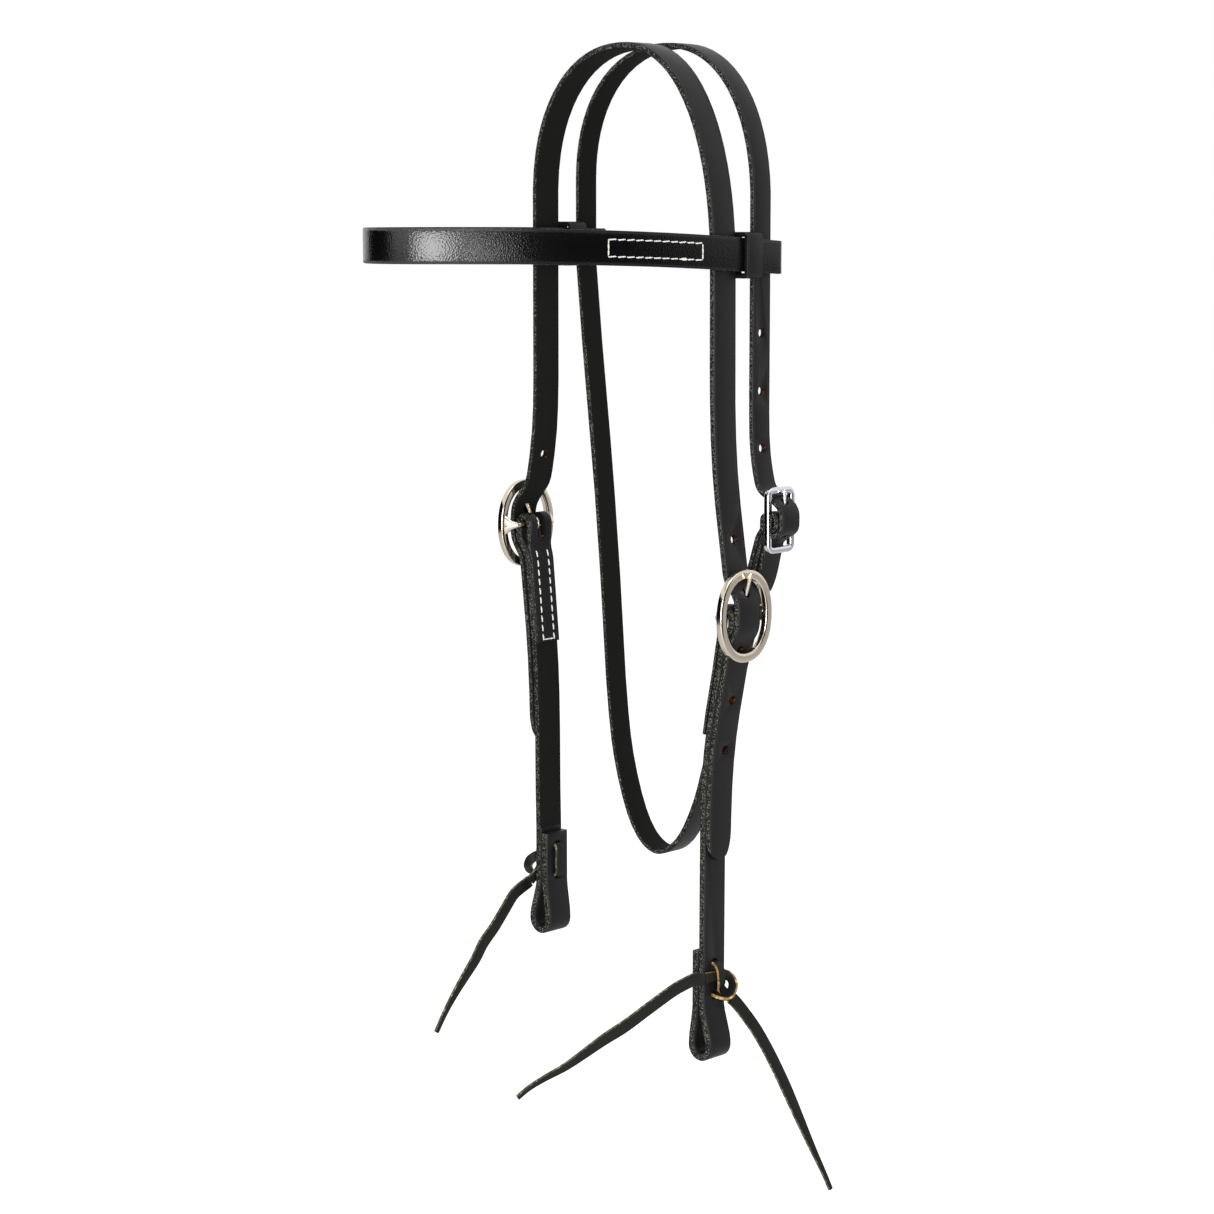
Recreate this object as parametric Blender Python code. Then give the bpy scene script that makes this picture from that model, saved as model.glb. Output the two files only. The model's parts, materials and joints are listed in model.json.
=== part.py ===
# Western browband headstall with tie ends, black leather, +Z up.
# X runs across the head with +X on its near side, and Y runs back along it.
# The origin is the underside of the crown strap's crest, which rests on the poll.

import math

import bmesh
import bpy
from mathutils import Matrix, Vector

mm = 0.001

# Fits that every piece shares
seat_gap = 0.3 * mm
cut_overrun = 2.0 * mm
facet_sag = 0.12 * mm
longest_facet = 40.0 * mm
path_step = 0.7 * mm
hole_sides = 12
eye_steps = 8
arch_steps = 90
bow_steps = 260
turn_steps = 10
ring_steps = 32
edge_ease_share = 0.14

# Crown strap, which runs from one cheek buckle over the poll to the other
crown_width = 16.5 * mm
crown_thickness = 3.2 * mm
near_strap_out = 59.9 * mm
off_strap_out = 60.6 * mm
near_arch_height = 112.0 * mm
off_arch_height = 74.0 * mm
arch_power = 2.2
tip_length = 15.0 * mm
tip_end_width = 4.0 * mm
tip_station = 1.8 * mm
hole_diameter = 5.0 * mm
crown_hole_pitch = 26.0 * mm
upper_hole_rise = 1.6 * mm
holes_above_tongue = 1
holes_below_tongue = 3
near_tip_drop = 125.0 * mm
off_tip_drop = 113.5 * mm

# Throatlatch, one strap that starts and ends at the near throat buckle
throat_width = 13.4 * mm
throat_thickness = 2.7 * mm
throat_back = 30.0 * mm
near_throat_inset = 1.5 * mm
off_throat_inset = 0.3 * mm
throat_crest_rise = 1.4 * mm
throat_near_arch_height = 80.0 * mm
throat_off_arch_height = 67.0 * mm
throat_line_end = 105.0 * mm
throat_depth = 411.6 * mm
throat_hole_pitch = 28.6 * mm
throat_hole_rise = 22.0 * mm
throat_holes_above = 3
throat_tail_length = 44.0 * mm
throat_tail_lean_share = 0.75
throat_fold_length = 34.0 * mm
throat_cheek_share = 0.9
throat_fold_slack = 2.6 * mm
throat_loop_shares = (
    (-0.9195, 0.365), (-0.808, 0.505), (-0.716, 0.645), (-0.634, 0.80), (-0.539, 0.893),
    (-0.347, 0.970), (-0.10, 1.0), (0.16, 0.983), (0.36, 0.932), (0.51, 0.863), (0.73, 0.765),
)

# Browband, a U round the forehead whose ends fold round both straps
band_height = 16.4 * mm
band_thickness = 2.6 * mm
band_depth = 170.0 * mm
band_z = -95.3 * mm
band_turn_radius = 4.05 * mm
band_inset = 0.55 * mm
band_near_sag = 7.0 * mm
band_off_sag = 1.2 * mm
band_sag_power = 2.0
band_corner_draw = 1.6 * mm
band_corner_run = 2.5 * mm
band_turn_end = 86.0 * mm
band_join = 19.0 * mm
keeper_width = 12.0 * mm
keeper_thickness = 2.4 * mm
keeper_rise = 3.0 * mm
keeper_drop = 3.2 * mm
keeper_turn = 1.4 * mm
keeper_corner = 0.45 * mm

# Cheek pieces, folded over the buckle's bar above and into the bit loop below
cheek_width = 16.0 * mm
cheek_thickness = 4.0 * mm
fold_stitch_start = 14.0 * mm
fold_length = 64.0 * mm
fold_round = 0.6 * mm
pared_start_share = 0.45
near_pared_end_share = 0.38
off_pared_end_share = 0.2
slot_width = 5.6 * mm
slot_drop = 9.0 * mm
bit_loop_radius = 5.7 * mm
bit_loop_open = 22.0 * mm
bit_loop_lean = 1.1 * mm
tie_hole_pitch = 16.5 * mm
turn_end_above_hole = 6.5 * mm

# Oval cheek buckles, whose centre bar is dropped behind the ring
ring_height = 46.0 * mm
ring_width = 39.0 * mm
ring_face = 4.5 * mm
ring_thickness = 3.3 * mm
bar_diameter = 3.2 * mm
bar_drop = 6.0 * mm
lug_height = 10.0 * mm
lug_thickness = 2.8 * mm
lug_lean = 4.5 * mm
bulge_gap = 0.6 * mm
rim_gap = 0.6 * mm
oval_power = 2.2
near_ring_out = 75.0 * mm
near_ring_z = -277.0 * mm
near_tail_out = 58.9 * mm
near_tie_hole_z = -455.7 * mm
near_bit_loop_out = 52.8 * mm
near_bit_loop_z = -506.0 * mm
off_ring_out = 75.8 * mm
off_ring_z = -242.0 * mm
off_tail_out = 64.0 * mm
off_tie_hole_z = -411.5 * mm
off_bit_loop_out = 57.5 * mm
off_bit_loop_z = -459.4 * mm

# Rectangular throat buckle, whose bar lies in the plane of its wire
frame_height = 33.0 * mm
frame_width = 21.0 * mm
frame_wire = 3.3 * mm
frame_corner = 2.8 * mm
frame_out = 72.0 * mm
frame_z = -232.0 * mm

# Tongues of all three buckles
tongue_diameter = 2.4 * mm
tongue_hole_diameter = 4.4 * mm
tongue_eye_turn = math.radians(245.0)
tongue_sides = 8

# Thread, laid just clear of the leather that it holds
thread_thickness = 0.9 * mm
band_box_start = 19.5 * mm
band_box_length = 60.5 * mm
band_box_height = 8.0 * mm
fold_row_spacing = 8.0 * mm
throat_row_spacing = 6.6 * mm

# Leather thongs of the tie ends
thong_width = 6.4 * mm
thong_thickness = 2.0 * mm
thong_tip_share = 0.36
thong_taper_share = 0.55
knot_steps = 5
knot_keep = 3

# How far each strap swings from its own line to cross a buckle's bar:
# settle lengths above and below, and the share of the swing that settles slowly
near_settle_above = 56.0 * mm
near_settle_below = 54.0 * mm
off_settle_above = 36.0 * mm
off_settle_below = 55.0 * mm
throat_settle_above = 24.0 * mm
throat_settle_below = 20.0 * mm
near_slow_above_share = 0.6
near_slow_below_share = 0.72
off_slow_above_share = 0.5
off_slow_below_share = 0.55
throat_slow_above_share = 0.35
throat_slow_below_share = 0.04

side_sign = {"near": 1.0, "off": -1.0}
strap_out = {"near": near_strap_out, "off": off_strap_out}
throat_out = {"near": near_strap_out - near_throat_inset,
              "off": off_strap_out - off_throat_inset}

for stale in list(bpy.data.objects):
    bpy.data.objects.remove(stale, do_unlink=True)


def make_material(name, colour, roughness, metallic):
    material = bpy.data.materials.new(name)
    material.use_nodes = True
    shader = material.node_tree.nodes["Principled BSDF"]
    shader.inputs["Base Color"].default_value = (*colour, 1.0)
    shader.inputs["Roughness"].default_value = roughness
    shader.inputs["Metallic"].default_value = metallic
    return material


black_leather = make_material("black_leather", (0.021, 0.021, 0.022), 0.45, 0.0)
thong_leather = make_material("thong_leather", (0.028, 0.027, 0.024), 0.6, 0.0)
warm_nickel = make_material("warm_nickel", (0.72, 0.64, 0.59), 0.16, 1.0)
bright_chrome = make_material("bright_chrome", (0.74, 0.74, 0.78), 0.1, 1.0)
white_thread = make_material("white_thread", (0.86, 0.85, 0.81), 0.7, 0.0)


# Lines and sections

def smooth_line(knots, step=path_step):
    # A Catmull-Rom curve through hand-placed points, at a steady step
    ends = [knots[0] * 2 - knots[1]] + list(knots) + [knots[-1] * 2 - knots[-2]]
    line = []
    for a, b, c, d in zip(ends, ends[1:], ends[2:], ends[3:]):
        count = max(2, round((c - b).length / step))
        for k in range(count):
            t = k / count
            line.append(0.5 * (2 * b + (c - a) * t + (2 * a - 5 * b + 4 * c - d) * t * t
                               + (3 * b - a - 3 * c + d) * t * t * t))
    line.append(knots[-1].copy())
    return line


def join_lines(*lines):
    whole = []
    for line in lines:
        for point in line:
            if not whole or (point - whole[-1]).length > 0.2 * path_step:
                whole.append(point.copy())
    return whole


def tangent(line, i, closed=False):
    if closed:
        return (line[(i + 1) % len(line)] - line[i - 1]).normalized()
    return (line[min(i + 1, len(line) - 1)] - line[max(i - 1, 0)]).normalized()


def shift_line(line, across, distances):
    # Moves each point square to the line, in the plane that "across" is square to
    shifted = []
    for i, point in enumerate(line):
        shifted.append(point + across.cross(tangent(line, i)).normalized() * distances[i])
    return shifted


def line_lengths(line):
    lengths = [0.0]
    for a, b in zip(line, line[1:]):
        lengths.append(lengths[-1] + (b - a).length)
    return lengths


def kept_points(line, first, last):
    # Keeps the points that hold the line within facet_sag of its true course
    run = line[last] - line[first]
    worst, at = 0.0, None
    for i in range(first + 1, last):
        ahead = line[i] - line[first]
        along = max(0.0, min(1.0, ahead.dot(run) / max(run.length_squared, 1e-12)))
        off_run = (ahead - run * along).length
        if off_run > worst:
            worst, at = off_run, i
    if last - first > 1 and (worst > facet_sag or run.length > longest_facet):
        at = at if worst > facet_sag else (first + last) // 2
        return kept_points(line, first, at) + kept_points(line, at, last)[1:]
    return [first, last]


def add_object(name, mesh_bm, material, cutter=False):
    mesh = bpy.data.meshes.new(name)
    bmesh.ops.recalc_face_normals(mesh_bm, faces=mesh_bm.faces[:])
    mesh_bm.to_mesh(mesh)
    mesh_bm.free()
    thing = bpy.data.objects.new(name, mesh)
    bpy.context.scene.collection.objects.link(thing)
    if cutter:
        thing.hide_render = True
        thing.display_type = "WIRE"
    else:
        mesh.materials.append(material)
        mesh.shade_smooth()
        mesh.set_sharp_from_angle(angle=math.radians(35))
    return thing


def strap_section(width, thickness):
    # A flat strap with eased edges, from its width and thickness
    half_width, half_thickness = width / 2, thickness / 2
    ease = edge_ease_share * thickness
    return ((half_width - ease, -half_thickness), (half_width, -half_thickness + ease),
            (half_width, half_thickness - ease), (half_width - ease, half_thickness),
            (-half_width + ease, half_thickness), (-half_width, half_thickness - ease),
            (-half_width, -half_thickness + ease), (-half_width + ease, -half_thickness))


def round_section(width, thickness, sides=tongue_sides):
    angles = [math.tau * (k + 0.5) / sides for k in range(sides)]
    return tuple((width / 2 * math.cos(a), thickness / 2 * math.sin(a)) for a in angles)


def square_section(width, thickness):
    return ((width / 2, -thickness / 2), (width / 2, thickness / 2),
            (-width / 2, thickness / 2), (-width / 2, -thickness / 2))


def sweep(name, line, across, widths, thicknesses, material, section=strap_section,
          closed=False, keep=None):
    # Lofts one section along a line. "across" is the width's direction, one or one a point
    keep = keep or (range(len(line)) if closed else kept_points(line, 0, len(line) - 1))
    mesh_bm = bmesh.new()
    rings = []
    for i in keep:
        ahead = tangent(line, i, closed)
        wide = across[i] if isinstance(across, list) else across
        wide = (wide - ahead * wide.dot(ahead)).normalized()
        thick = ahead.cross(wide)
        width = widths[i] if isinstance(widths, list) else widths
        thickness = thicknesses[i] if isinstance(thicknesses, list) else thicknesses
        rings.append([mesh_bm.verts.new(line[i] + wide * a + thick * b)
                      for a, b in section(width, thickness)])
    pairs = list(zip(rings, rings[1:] + rings[:1])) if closed else list(zip(rings, rings[1:]))
    for ring, following in pairs:
        for k in range(len(ring)):
            j = (k + 1) % len(ring)
            mesh_bm.faces.new((ring[k], ring[j], following[j], following[k]))
    if not closed:
        mesh_bm.faces.new(rings[0])
        mesh_bm.faces.new(rings[-1])
    return add_object(name, mesh_bm, material)


def add_peg(mesh_bm, centre, along, diameter, length, sides=hole_sides):
    # A cylinder about a centre, for a cutter
    turn = Vector((0, 0, 1)).rotation_difference(along).to_matrix().to_4x4()
    bmesh.ops.create_cone(mesh_bm, cap_ends=True, segments=sides, radius1=diameter / 2,
                          radius2=diameter / 2, depth=length,
                          matrix=Matrix.Translation(centre) @ turn)


def cut(target, cutter):
    modifier = target.modifiers.new("cut", "BOOLEAN")
    modifier.operation = "DIFFERENCE"
    modifier.solver = "EXACT"
    modifier.object = cutter


def pointed_widths(line, width, first_tip, last_tip):
    # Draws a strap's cut ends in to a blunt point
    lengths = line_lengths(line)
    widths = []
    for s in lengths:
        reach = min(s if first_tip else tip_length, lengths[-1] - s if last_tip else tip_length)
        share = min(1.0, reach / tip_length)
        swell = math.sqrt(max(0.0, 1.0 - (1.0 - share) ** 2))
        widths.append(tip_end_width + (width - tip_end_width) * swell)
    return widths


def tip_keep(line, first_tip, last_tip):
    # Adds stations along a pointed end, where a straight line alone would keep none
    keep = set(kept_points(line, 0, len(line) - 1))
    lengths = line_lengths(line)
    for i, s in enumerate(lengths):
        reach = min(s if first_tip else math.inf, lengths[-1] - s if last_tip else math.inf)
        if reach < tip_length + path_step and i % round(tip_station / path_step) == 0:
            keep.add(i)
    return sorted(keep)


def smooth_step(share):
    share = max(0.0, min(1.0, share))
    return share * share * (3 - 2 * share)


def place(side, out, back, z):
    return Vector((side_sign[side] * out, back, z))


# How a strap swings out over a buckle's bar and in behind its rims

class Crossing:
    def __init__(self, bar_out, bar_z, over_bar, behind_rim, rim_reach):
        self.bar_out, self.bar_z = bar_out, bar_z
        self.over_bar, self.behind_rim, self.rim_reach = over_bar, behind_rim, rim_reach

    def out_at(self, z, line_out, settle, slow_share):
        # From the strap's own line to the bar: a quick bell for the rim, a slow one beyond it
        away = abs(z - self.bar_z)
        swing = self.bar_out + self.over_bar - line_out
        rim_share = (self.bar_out + self.behind_rim - line_out) / swing
        slow_at_rim = slow_share * math.exp(-(self.rim_reach / settle) ** 2)
        quick_at_rim = (rim_share - slow_at_rim) / (1 - slow_share)
        quick_reach = self.rim_reach / (-math.log(quick_at_rim)) ** 0.25
        bell = ((1 - slow_share) * math.exp(-(away / quick_reach) ** 4)
                + slow_share * math.exp(-(away / settle) ** 2))
        return line_out + swing * bell


fold_radius = bar_diameter / 2 + seat_gap + cheek_thickness / 2
crown_over_bar = fold_radius + cheek_thickness / 2 + bulge_gap + crown_thickness / 2
crown_behind_rim = bar_drop - ring_thickness / 2 - rim_gap - crown_thickness / 2
ring_inner_reach = ring_height / 2 - ring_face
# The strap's edges meet the oval rim sooner than its middle does
edge_share = crown_width / (ring_width - 2 * ring_face)
strap_reach = ring_inner_reach * (1 - edge_share ** oval_power) ** (1 / oval_power)

throat_fold_radius = frame_wire / 2 + seat_gap + throat_thickness / 2
throat_over_bar = throat_fold_radius + throat_thickness / 2 + bulge_gap + throat_thickness / 2
throat_behind_rim = -frame_wire / 2 - rim_gap - throat_thickness / 2
frame_inner_reach = frame_height / 2 - frame_wire

cheeks = {
    "near": {
        "crossing": Crossing(near_ring_out - bar_drop, near_ring_z, crown_over_bar,
                             crown_behind_rim, strap_reach),
        "arch": near_arch_height, "tail_out": near_tail_out, "tip_drop": near_tip_drop,
        "above": (near_settle_above, near_slow_above_share),
        "below": (near_settle_below, near_slow_below_share),
        "loop_out": near_bit_loop_out, "loop_z": near_bit_loop_z, "hole_z": near_tie_hole_z,
        "pared_end": near_pared_end_share,
    },
    "off": {
        "crossing": Crossing(off_ring_out - bar_drop, off_ring_z, crown_over_bar,
                             crown_behind_rim, strap_reach),
        "arch": off_arch_height, "tail_out": off_tail_out, "tip_drop": off_tip_drop,
        "above": (off_settle_above, off_slow_above_share),
        "below": (off_settle_below, off_slow_below_share),
        "loop_out": off_bit_loop_out, "loop_z": off_bit_loop_z, "hole_z": off_tie_hole_z,
        "pared_end": off_pared_end_share,
    },
}
throat_crossing = Crossing(frame_out, frame_z, throat_over_bar, throat_behind_rim,
                           frame_inner_reach - frame_corner + frame_wire / 2)


def heights(top, bottom):
    count = max(2, round((top - bottom) / path_step))
    return [top + (bottom - top) * k / count for k in range(count + 1)]


def quarter_arch(side, half_width, height, crest_z, back):
    # From the foot of the arch up to its crest, a little fuller than an ellipse
    points = []
    for k in range(arch_steps + 1):
        angle = 0.5 * math.pi * k / arch_steps
        points.append(place(side, half_width * max(0.0, math.cos(angle)) ** (2 / arch_power), back,
                            crest_z - height + height * math.sin(angle) ** (2 / arch_power)))
    return points


def tail_out_at(side, z):
    # The crown strap's tail below the bar, and the line that the cheek piece keeps to
    cheek = cheeks[side]
    return cheek["crossing"].out_at(z, cheek["tail_out"], *cheek["below"])


# Crown strap

def crown_half(side, crest_z):
    cheek = cheeks[side]
    crossing = cheek["crossing"]
    foot_z = crest_z - cheek["arch"]
    arch = quarter_arch(side, strap_out[side], cheek["arch"], crest_z, 0.0)
    upper = [place(side, crossing.out_at(z, strap_out[side], *cheek["above"]), 0.0, z)
             for z in heights(foot_z, crossing.bar_z)]
    lower = [place(side, tail_out_at(side, z), 0.0, z)
             for z in heights(crossing.bar_z, crossing.bar_z - cheek["tip_drop"])]
    return join_lines(lower[::-1], upper[::-1], arch)


def at_height(line, side, z):
    # The point of a strap's line at a height on one side, and the way the strap faces there
    best = min((i for i in range(len(line)) if line[i].x * side_sign[side] > 0),
               key=lambda i: abs(line[i].z - z))
    return line[best], tangent(line, best).cross(Vector((0, 1, 0))).normalized()


def tongue_line(rim_reach, rim_front, bar_radius):
    # The tongue's root point and direction, out and up from the bar: it leaves its eye on the
    # outer side and just clears the rim that it lies on
    eye_radius = bar_radius + seat_gap + tongue_diameter / 2
    rest = Vector((rim_front + seat_gap + tongue_diameter / 2, rim_reach))
    lean = math.atan2(rest.y, rest.x) + math.asin(eye_radius / rest.length)
    heading = Vector((math.cos(lean), math.sin(lean)))
    root = Vector((heading.y, -heading.x)) * eye_radius
    return root, heading, lean, eye_radius


def tongue_cut(mesh_bm, side, bar_out, bar_z, back, rim_reach, rim_front, bar_radius):
    # The strap's hole gives way along the tongue that pulls through it
    root, heading = tongue_line(rim_reach, rim_front, bar_radius)[:2]
    start = root + heading * (bar_radius + tongue_diameter)
    end = root + heading * (rim_reach + ring_face)
    a = place(side, bar_out + start.x, back, bar_z + start.y)
    b = place(side, bar_out + end.x, back, bar_z + end.y)
    add_peg(mesh_bm, (a + b) / 2, (b - a).normalized(), tongue_hole_diameter, (b - a).length)


ring_front = bar_drop + ring_thickness / 2
bar_radius = bar_diameter / 2
frame_front = frame_wire / 2


def make_crown_strap():
    crest_z = crown_thickness / 2
    near, off = crown_half("near", crest_z), crown_half("off", crest_z)
    line = join_lines(near, off[::-1])
    strap = sweep("crown_strap", line, Vector((0, 1, 0)),
                  pointed_widths(line, crown_width, True, True), crown_thickness, black_leather,
                  keep=tip_keep(line, True, True))
    cutter_bm = bmesh.new()
    for side, cheek in cheeks.items():
        crossing = cheek["crossing"]
        tongue_cut(cutter_bm, side, crossing.bar_out, crossing.bar_z, 0.0, ring_inner_reach,
                   ring_front, bar_radius)
        tongue_z = crossing.bar_z + 0.5 * ring_inner_reach
        for k in range(-holes_below_tongue, holes_above_tongue + 1):
            if k != 0:
                hole_z = tongue_z + k * crown_hole_pitch + (upper_hole_rise if k > 0 else 0.0)
                centre, facing = at_height(line, side, hole_z)
                add_peg(cutter_bm, centre, facing, hole_diameter,
                        crown_thickness + 2 * cut_overrun)
    cut(strap, add_object("crown_hole_cutter", cutter_bm, None, cutter=True))
    return line


# Throatlatch

def pared(thickness, s, length, start_share=1.0, end_share=1.0):
    # The turned-back ply is pared before its first stitch, and thins on to its end
    share = start_share + (1 - start_share) * (1 - smooth_step(s / fold_stitch_start))
    return thickness * (share - (start_share - end_share) * min(1.0, s / length))


def turned_fold(outer, centre, radius, thickness, length, slack, *shares):
    # Takes a ply over the bar and back down, with some slack on the inner side: it hangs
    # straight until it lies on the ply again
    bar_turn = []
    sign = math.copysign(1, outer[0].x)
    for k in range(turn_steps + 1):
        angle = math.pi * k / turn_steps
        bar_turn.append(centre + Vector((
            sign * (radius * math.cos(angle) + slack * min(0.0, math.cos(angle))), 0,
            radius * math.sin(angle))))
    hang = abs(centre.x) - radius - slack
    lengths = line_lengths(outer)
    laid = shift_line(outer, Vector((0, sign, 0)), [
        (thickness + pared(thickness, s, length, *shares)) / 2 + seat_gap for s in lengths])
    inner = []
    for point, s in zip(laid, lengths):
        if s <= length and (not inner or point.z < inner[-1].z):
            beyond = abs(abs(point.x) - hang)
            out = min(abs(point.x), hang) - fold_round * math.log1p(math.exp(-beyond / fold_round))
            inner.append(Vector((sign * out, point.y, point.z)))
    return bar_turn, inner


def make_throatlatch():
    crest_z = throat_crest_rise + throat_thickness / 2
    bar = place("near", frame_out, throat_back, frame_z)
    near_foot = crest_z - throat_near_arch_height
    off_foot = crest_z - throat_off_arch_height
    near_arch = quarter_arch("near", throat_out["near"], throat_near_arch_height, crest_z,
                             throat_back)
    off_arch = quarter_arch("off", throat_out["off"], throat_off_arch_height, crest_z,
                            throat_back)
    near_upper = [place("near", throat_crossing.out_at(
        z, throat_out["near"], throat_settle_above, throat_slow_above_share), throat_back, z)
        for z in heights(near_foot, frame_z)]
    # Below the buckle the near side slants to the throat, and its tail hangs a little clear
    last_share = throat_loop_shares[-1]
    corner = Vector((last_share[0] * off_strap_out, throat_back,
                     -last_share[1] * throat_depth))
    slant_top = frame_z - frame_inner_reach
    slant_out = throat_cheek_share * frame_out
    lean = (slant_out - corner.x) / (slant_top - corner.z)
    tail_lean = throat_tail_lean_share * lean
    tail_line_out = slant_out + throat_thickness + seat_gap
    tail = [place("near", throat_crossing.out_at(
        z, tail_line_out, throat_settle_below, throat_slow_below_share)
        - tail_lean * max(0.0, slant_top - z), throat_back, z)
        for z in heights(frame_z, corner.z)]
    lengths = line_lengths(tail)
    over_fold = throat_over_bar - throat_fold_radius
    apart = [throat_thickness + seat_gap + (over_fold - throat_thickness - seat_gap)
             * math.exp(-(s / throat_fold_radius) ** 2)
             + (lean - tail_lean) * max(0.0, slant_top - p.z) for p, s in zip(tail, lengths)]
    ply = shift_line(tail, Vector((0, 1, 0)), apart)
    bar_turn, inner = turned_fold(ply, bar, throat_fold_radius, throat_thickness,
                                  throat_fold_length, throat_fold_slack)
    tail = [p for p, s in zip(tail, lengths) if s <= throat_tail_length]
    knots = [place("off", -x * off_strap_out, throat_back, -z * throat_depth)
             for x, z in throat_loop_shares[:-1]]
    off_line_end = place("off", throat_out["off"], throat_back, -throat_line_end)
    off_line = [place("off", throat_out["off"], throat_back, z)
                for z in heights(off_foot, off_line_end.z)]
    plain_ply = [p for p, s in zip(ply, lengths) if s <= throat_tail_length]
    loop = smooth_line([off_line_end] + knots + [ply[-1], plain_ply[-1]])
    line = join_lines(tail[::-1], near_upper[::-1], near_arch, off_arch[::-1], off_line, loop,
                      plain_ply[::-1], bar_turn, inner)
    strap = sweep("throatlatch", line, Vector((0, 1, 0)),
                  pointed_widths(line, throat_width, True, False), throat_thickness,
                  black_leather, keep=tip_keep(line, True, False))
    cutter_bm = bmesh.new()
    tongue_cut(cutter_bm, "near", frame_out, frame_z, throat_back, frame_inner_reach,
               frame_front, frame_front)
    for k in range(1, throat_holes_above + 1):
        z = frame_z + frame_inner_reach + throat_hole_rise + (k - 1) * throat_hole_pitch
        centre, facing = at_height(near_upper, "near", z)
        add_peg(cutter_bm, centre, facing, hole_diameter, throat_thickness + 2 * cut_overrun)
    cut(strap, add_object("throat_hole_cutter", cutter_bm, None, cutter=True))
    cut(strap, make_slot("throat_slot_cutter", "near", bar, throat_fold_radius,
                         throat_thickness, throat_fold_slack))
    return inner


def make_slot(name, side, bar, radius, thickness, slack=0.0):
    # The slot in a fold that the tongue works in, with a round lower end
    reach = radius + thickness / 2 + 0.5 * bulge_gap
    outline = [(slot_width / 2, reach + cut_overrun), (-slot_width / 2, reach + cut_overrun)]
    for k in range(hole_sides + 1):
        angle = math.pi + math.pi * k / hole_sides
        outline.append((slot_width / 2 * math.cos(angle),
                        slot_width / 2 * math.sin(angle) - slot_drop + slot_width / 2))
    slot_bm = bmesh.new()
    inner = [slot_bm.verts.new(bar + Vector((-reach - slack, y, z))) for y, z in outline]
    outer = [slot_bm.verts.new(bar + Vector((reach, y, z))) for y, z in outline]
    slot_bm.faces.new(inner)
    slot_bm.faces.new(outer)
    for k in range(len(outline)):
        j = (k + 1) % len(outline)
        slot_bm.faces.new((inner[k], inner[j], outer[j], outer[k]))
    return add_object(name, slot_bm, None, cutter=True)


# Cheek pieces

def make_cheek_piece(side):
    cheek = cheeks[side]
    crossing = cheek["crossing"]
    pitch = cheek_thickness + seat_gap
    loop_centre_z = cheek["loop_z"] + bit_loop_radius + cheek_thickness / 2
    close_z = loop_centre_z + bit_loop_open
    turn_end_z = cheek["hole_z"] + turn_end_above_hole
    sign = side_sign[side]
    bar = place(side, crossing.bar_out, 0.0, crossing.bar_z)
    guide = [place(side, tail_out_at(side, z), 0.0, z)
             for z in heights(crossing.bar_z, turn_end_z + 2 * fold_stitch_start)]
    over_fold = crown_over_bar - fold_radius
    behind_tail = (crown_thickness + cheek_thickness) / 2 + seat_gap
    apart = [behind_tail + (over_fold - behind_tail) * math.exp(-(s / fold_radius) ** 2)
             for s in line_lengths(guide)]
    outer = shift_line(guide, Vector((0, sign, 0)), apart)
    bar_turn, inner = turned_fold(outer, bar, fold_radius, cheek_thickness, fold_length, 0.0,
                                  pared_start_share, cheek["pared_end"])
    inner_lengths = line_lengths(inner)
    inner_thicknesses = [pared(cheek_thickness, s, fold_length, pared_start_share,
                               cheek["pared_end"]) for s in inner_lengths]
    # Below the tail, the ply steps out over its turned-up end and opens into the bit loop
    outer_end = outer[-1]

    def loop_side(z, outward):
        # One side of the loop, which opens and leans out a little towards its bottom
        share = smooth_step((close_z - z) / (close_z - loop_centre_z))
        half_gap = pitch / 2 + (bit_loop_radius - pitch / 2) * share
        return cheek["loop_out"] + bit_loop_lean * share + outward * half_gap

    step_out = []
    for z in heights(outer_end.z, turn_end_z):
        share = smooth_step((outer_end.z - z) / (outer_end.z - turn_end_z))
        target = cheek["loop_out"] + pitch / 2
        step_out.append(place(side, abs(outer_end.x) * (1 - share) + target * share, 0.0, z))
    down = [place(side, loop_side(z, 1), 0.0, z) for z in heights(turn_end_z, loop_centre_z)]
    angles = [math.pi * k / turn_steps for k in range(turn_steps + 1)]
    bottom_out = cheek["loop_out"] + bit_loop_lean
    bottom = [place(side, bottom_out + bit_loop_radius * math.cos(angle), 0.0,
                    loop_centre_z - bit_loop_radius * math.sin(angle)) for angle in angles]
    up = [place(side, loop_side(z, -1), 0.0, z)
          for z in heights(turn_end_z, loop_centre_z)][::-1]
    line = join_lines(inner[::-1], bar_turn[::-1], outer, step_out, down, bottom, up)
    thicknesses = [pared(cheek_thickness, max(0.0, inner_lengths[-1] - s), fold_length,
                         pared_start_share, cheek["pared_end"]) for s in line_lengths(line)]
    piece = sweep(side + "_cheek_piece", line, Vector((0, 1, 0)), cheek_width, thicknesses,
                  black_leather)
    cut(piece, make_slot(side + "_slot_cutter", side, bar, fold_radius, cheek_thickness))
    cutter_bm = bmesh.new()
    for z in (cheek["hole_z"], cheek["hole_z"] - tie_hole_pitch):
        add_peg(cutter_bm, place(side, cheek["loop_out"], 0.0, z), Vector((1, 0, 0)),
                hole_diameter, 2 * (pitch + cheek_thickness / 2) + 2 * cut_overrun)
    cut(piece, add_object(side + "_tie_hole_cutter", cutter_bm, None, cutter=True))
    return inner, inner_thicknesses


# Buckles

def oval_line(side, out, z, half_width, half_height):
    # The middle of the ring's face: straight flanks between round ends
    points = []
    for k in range(ring_steps):
        angle = math.tau * k / ring_steps
        c, s = math.cos(angle), math.sin(angle)
        back = half_width * math.copysign(abs(c) ** (2 / oval_power), c)
        up = half_height * math.copysign(abs(s) ** (2 / oval_power), s)
        points.append(place(side, out, back, z + up))
    return points


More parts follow.
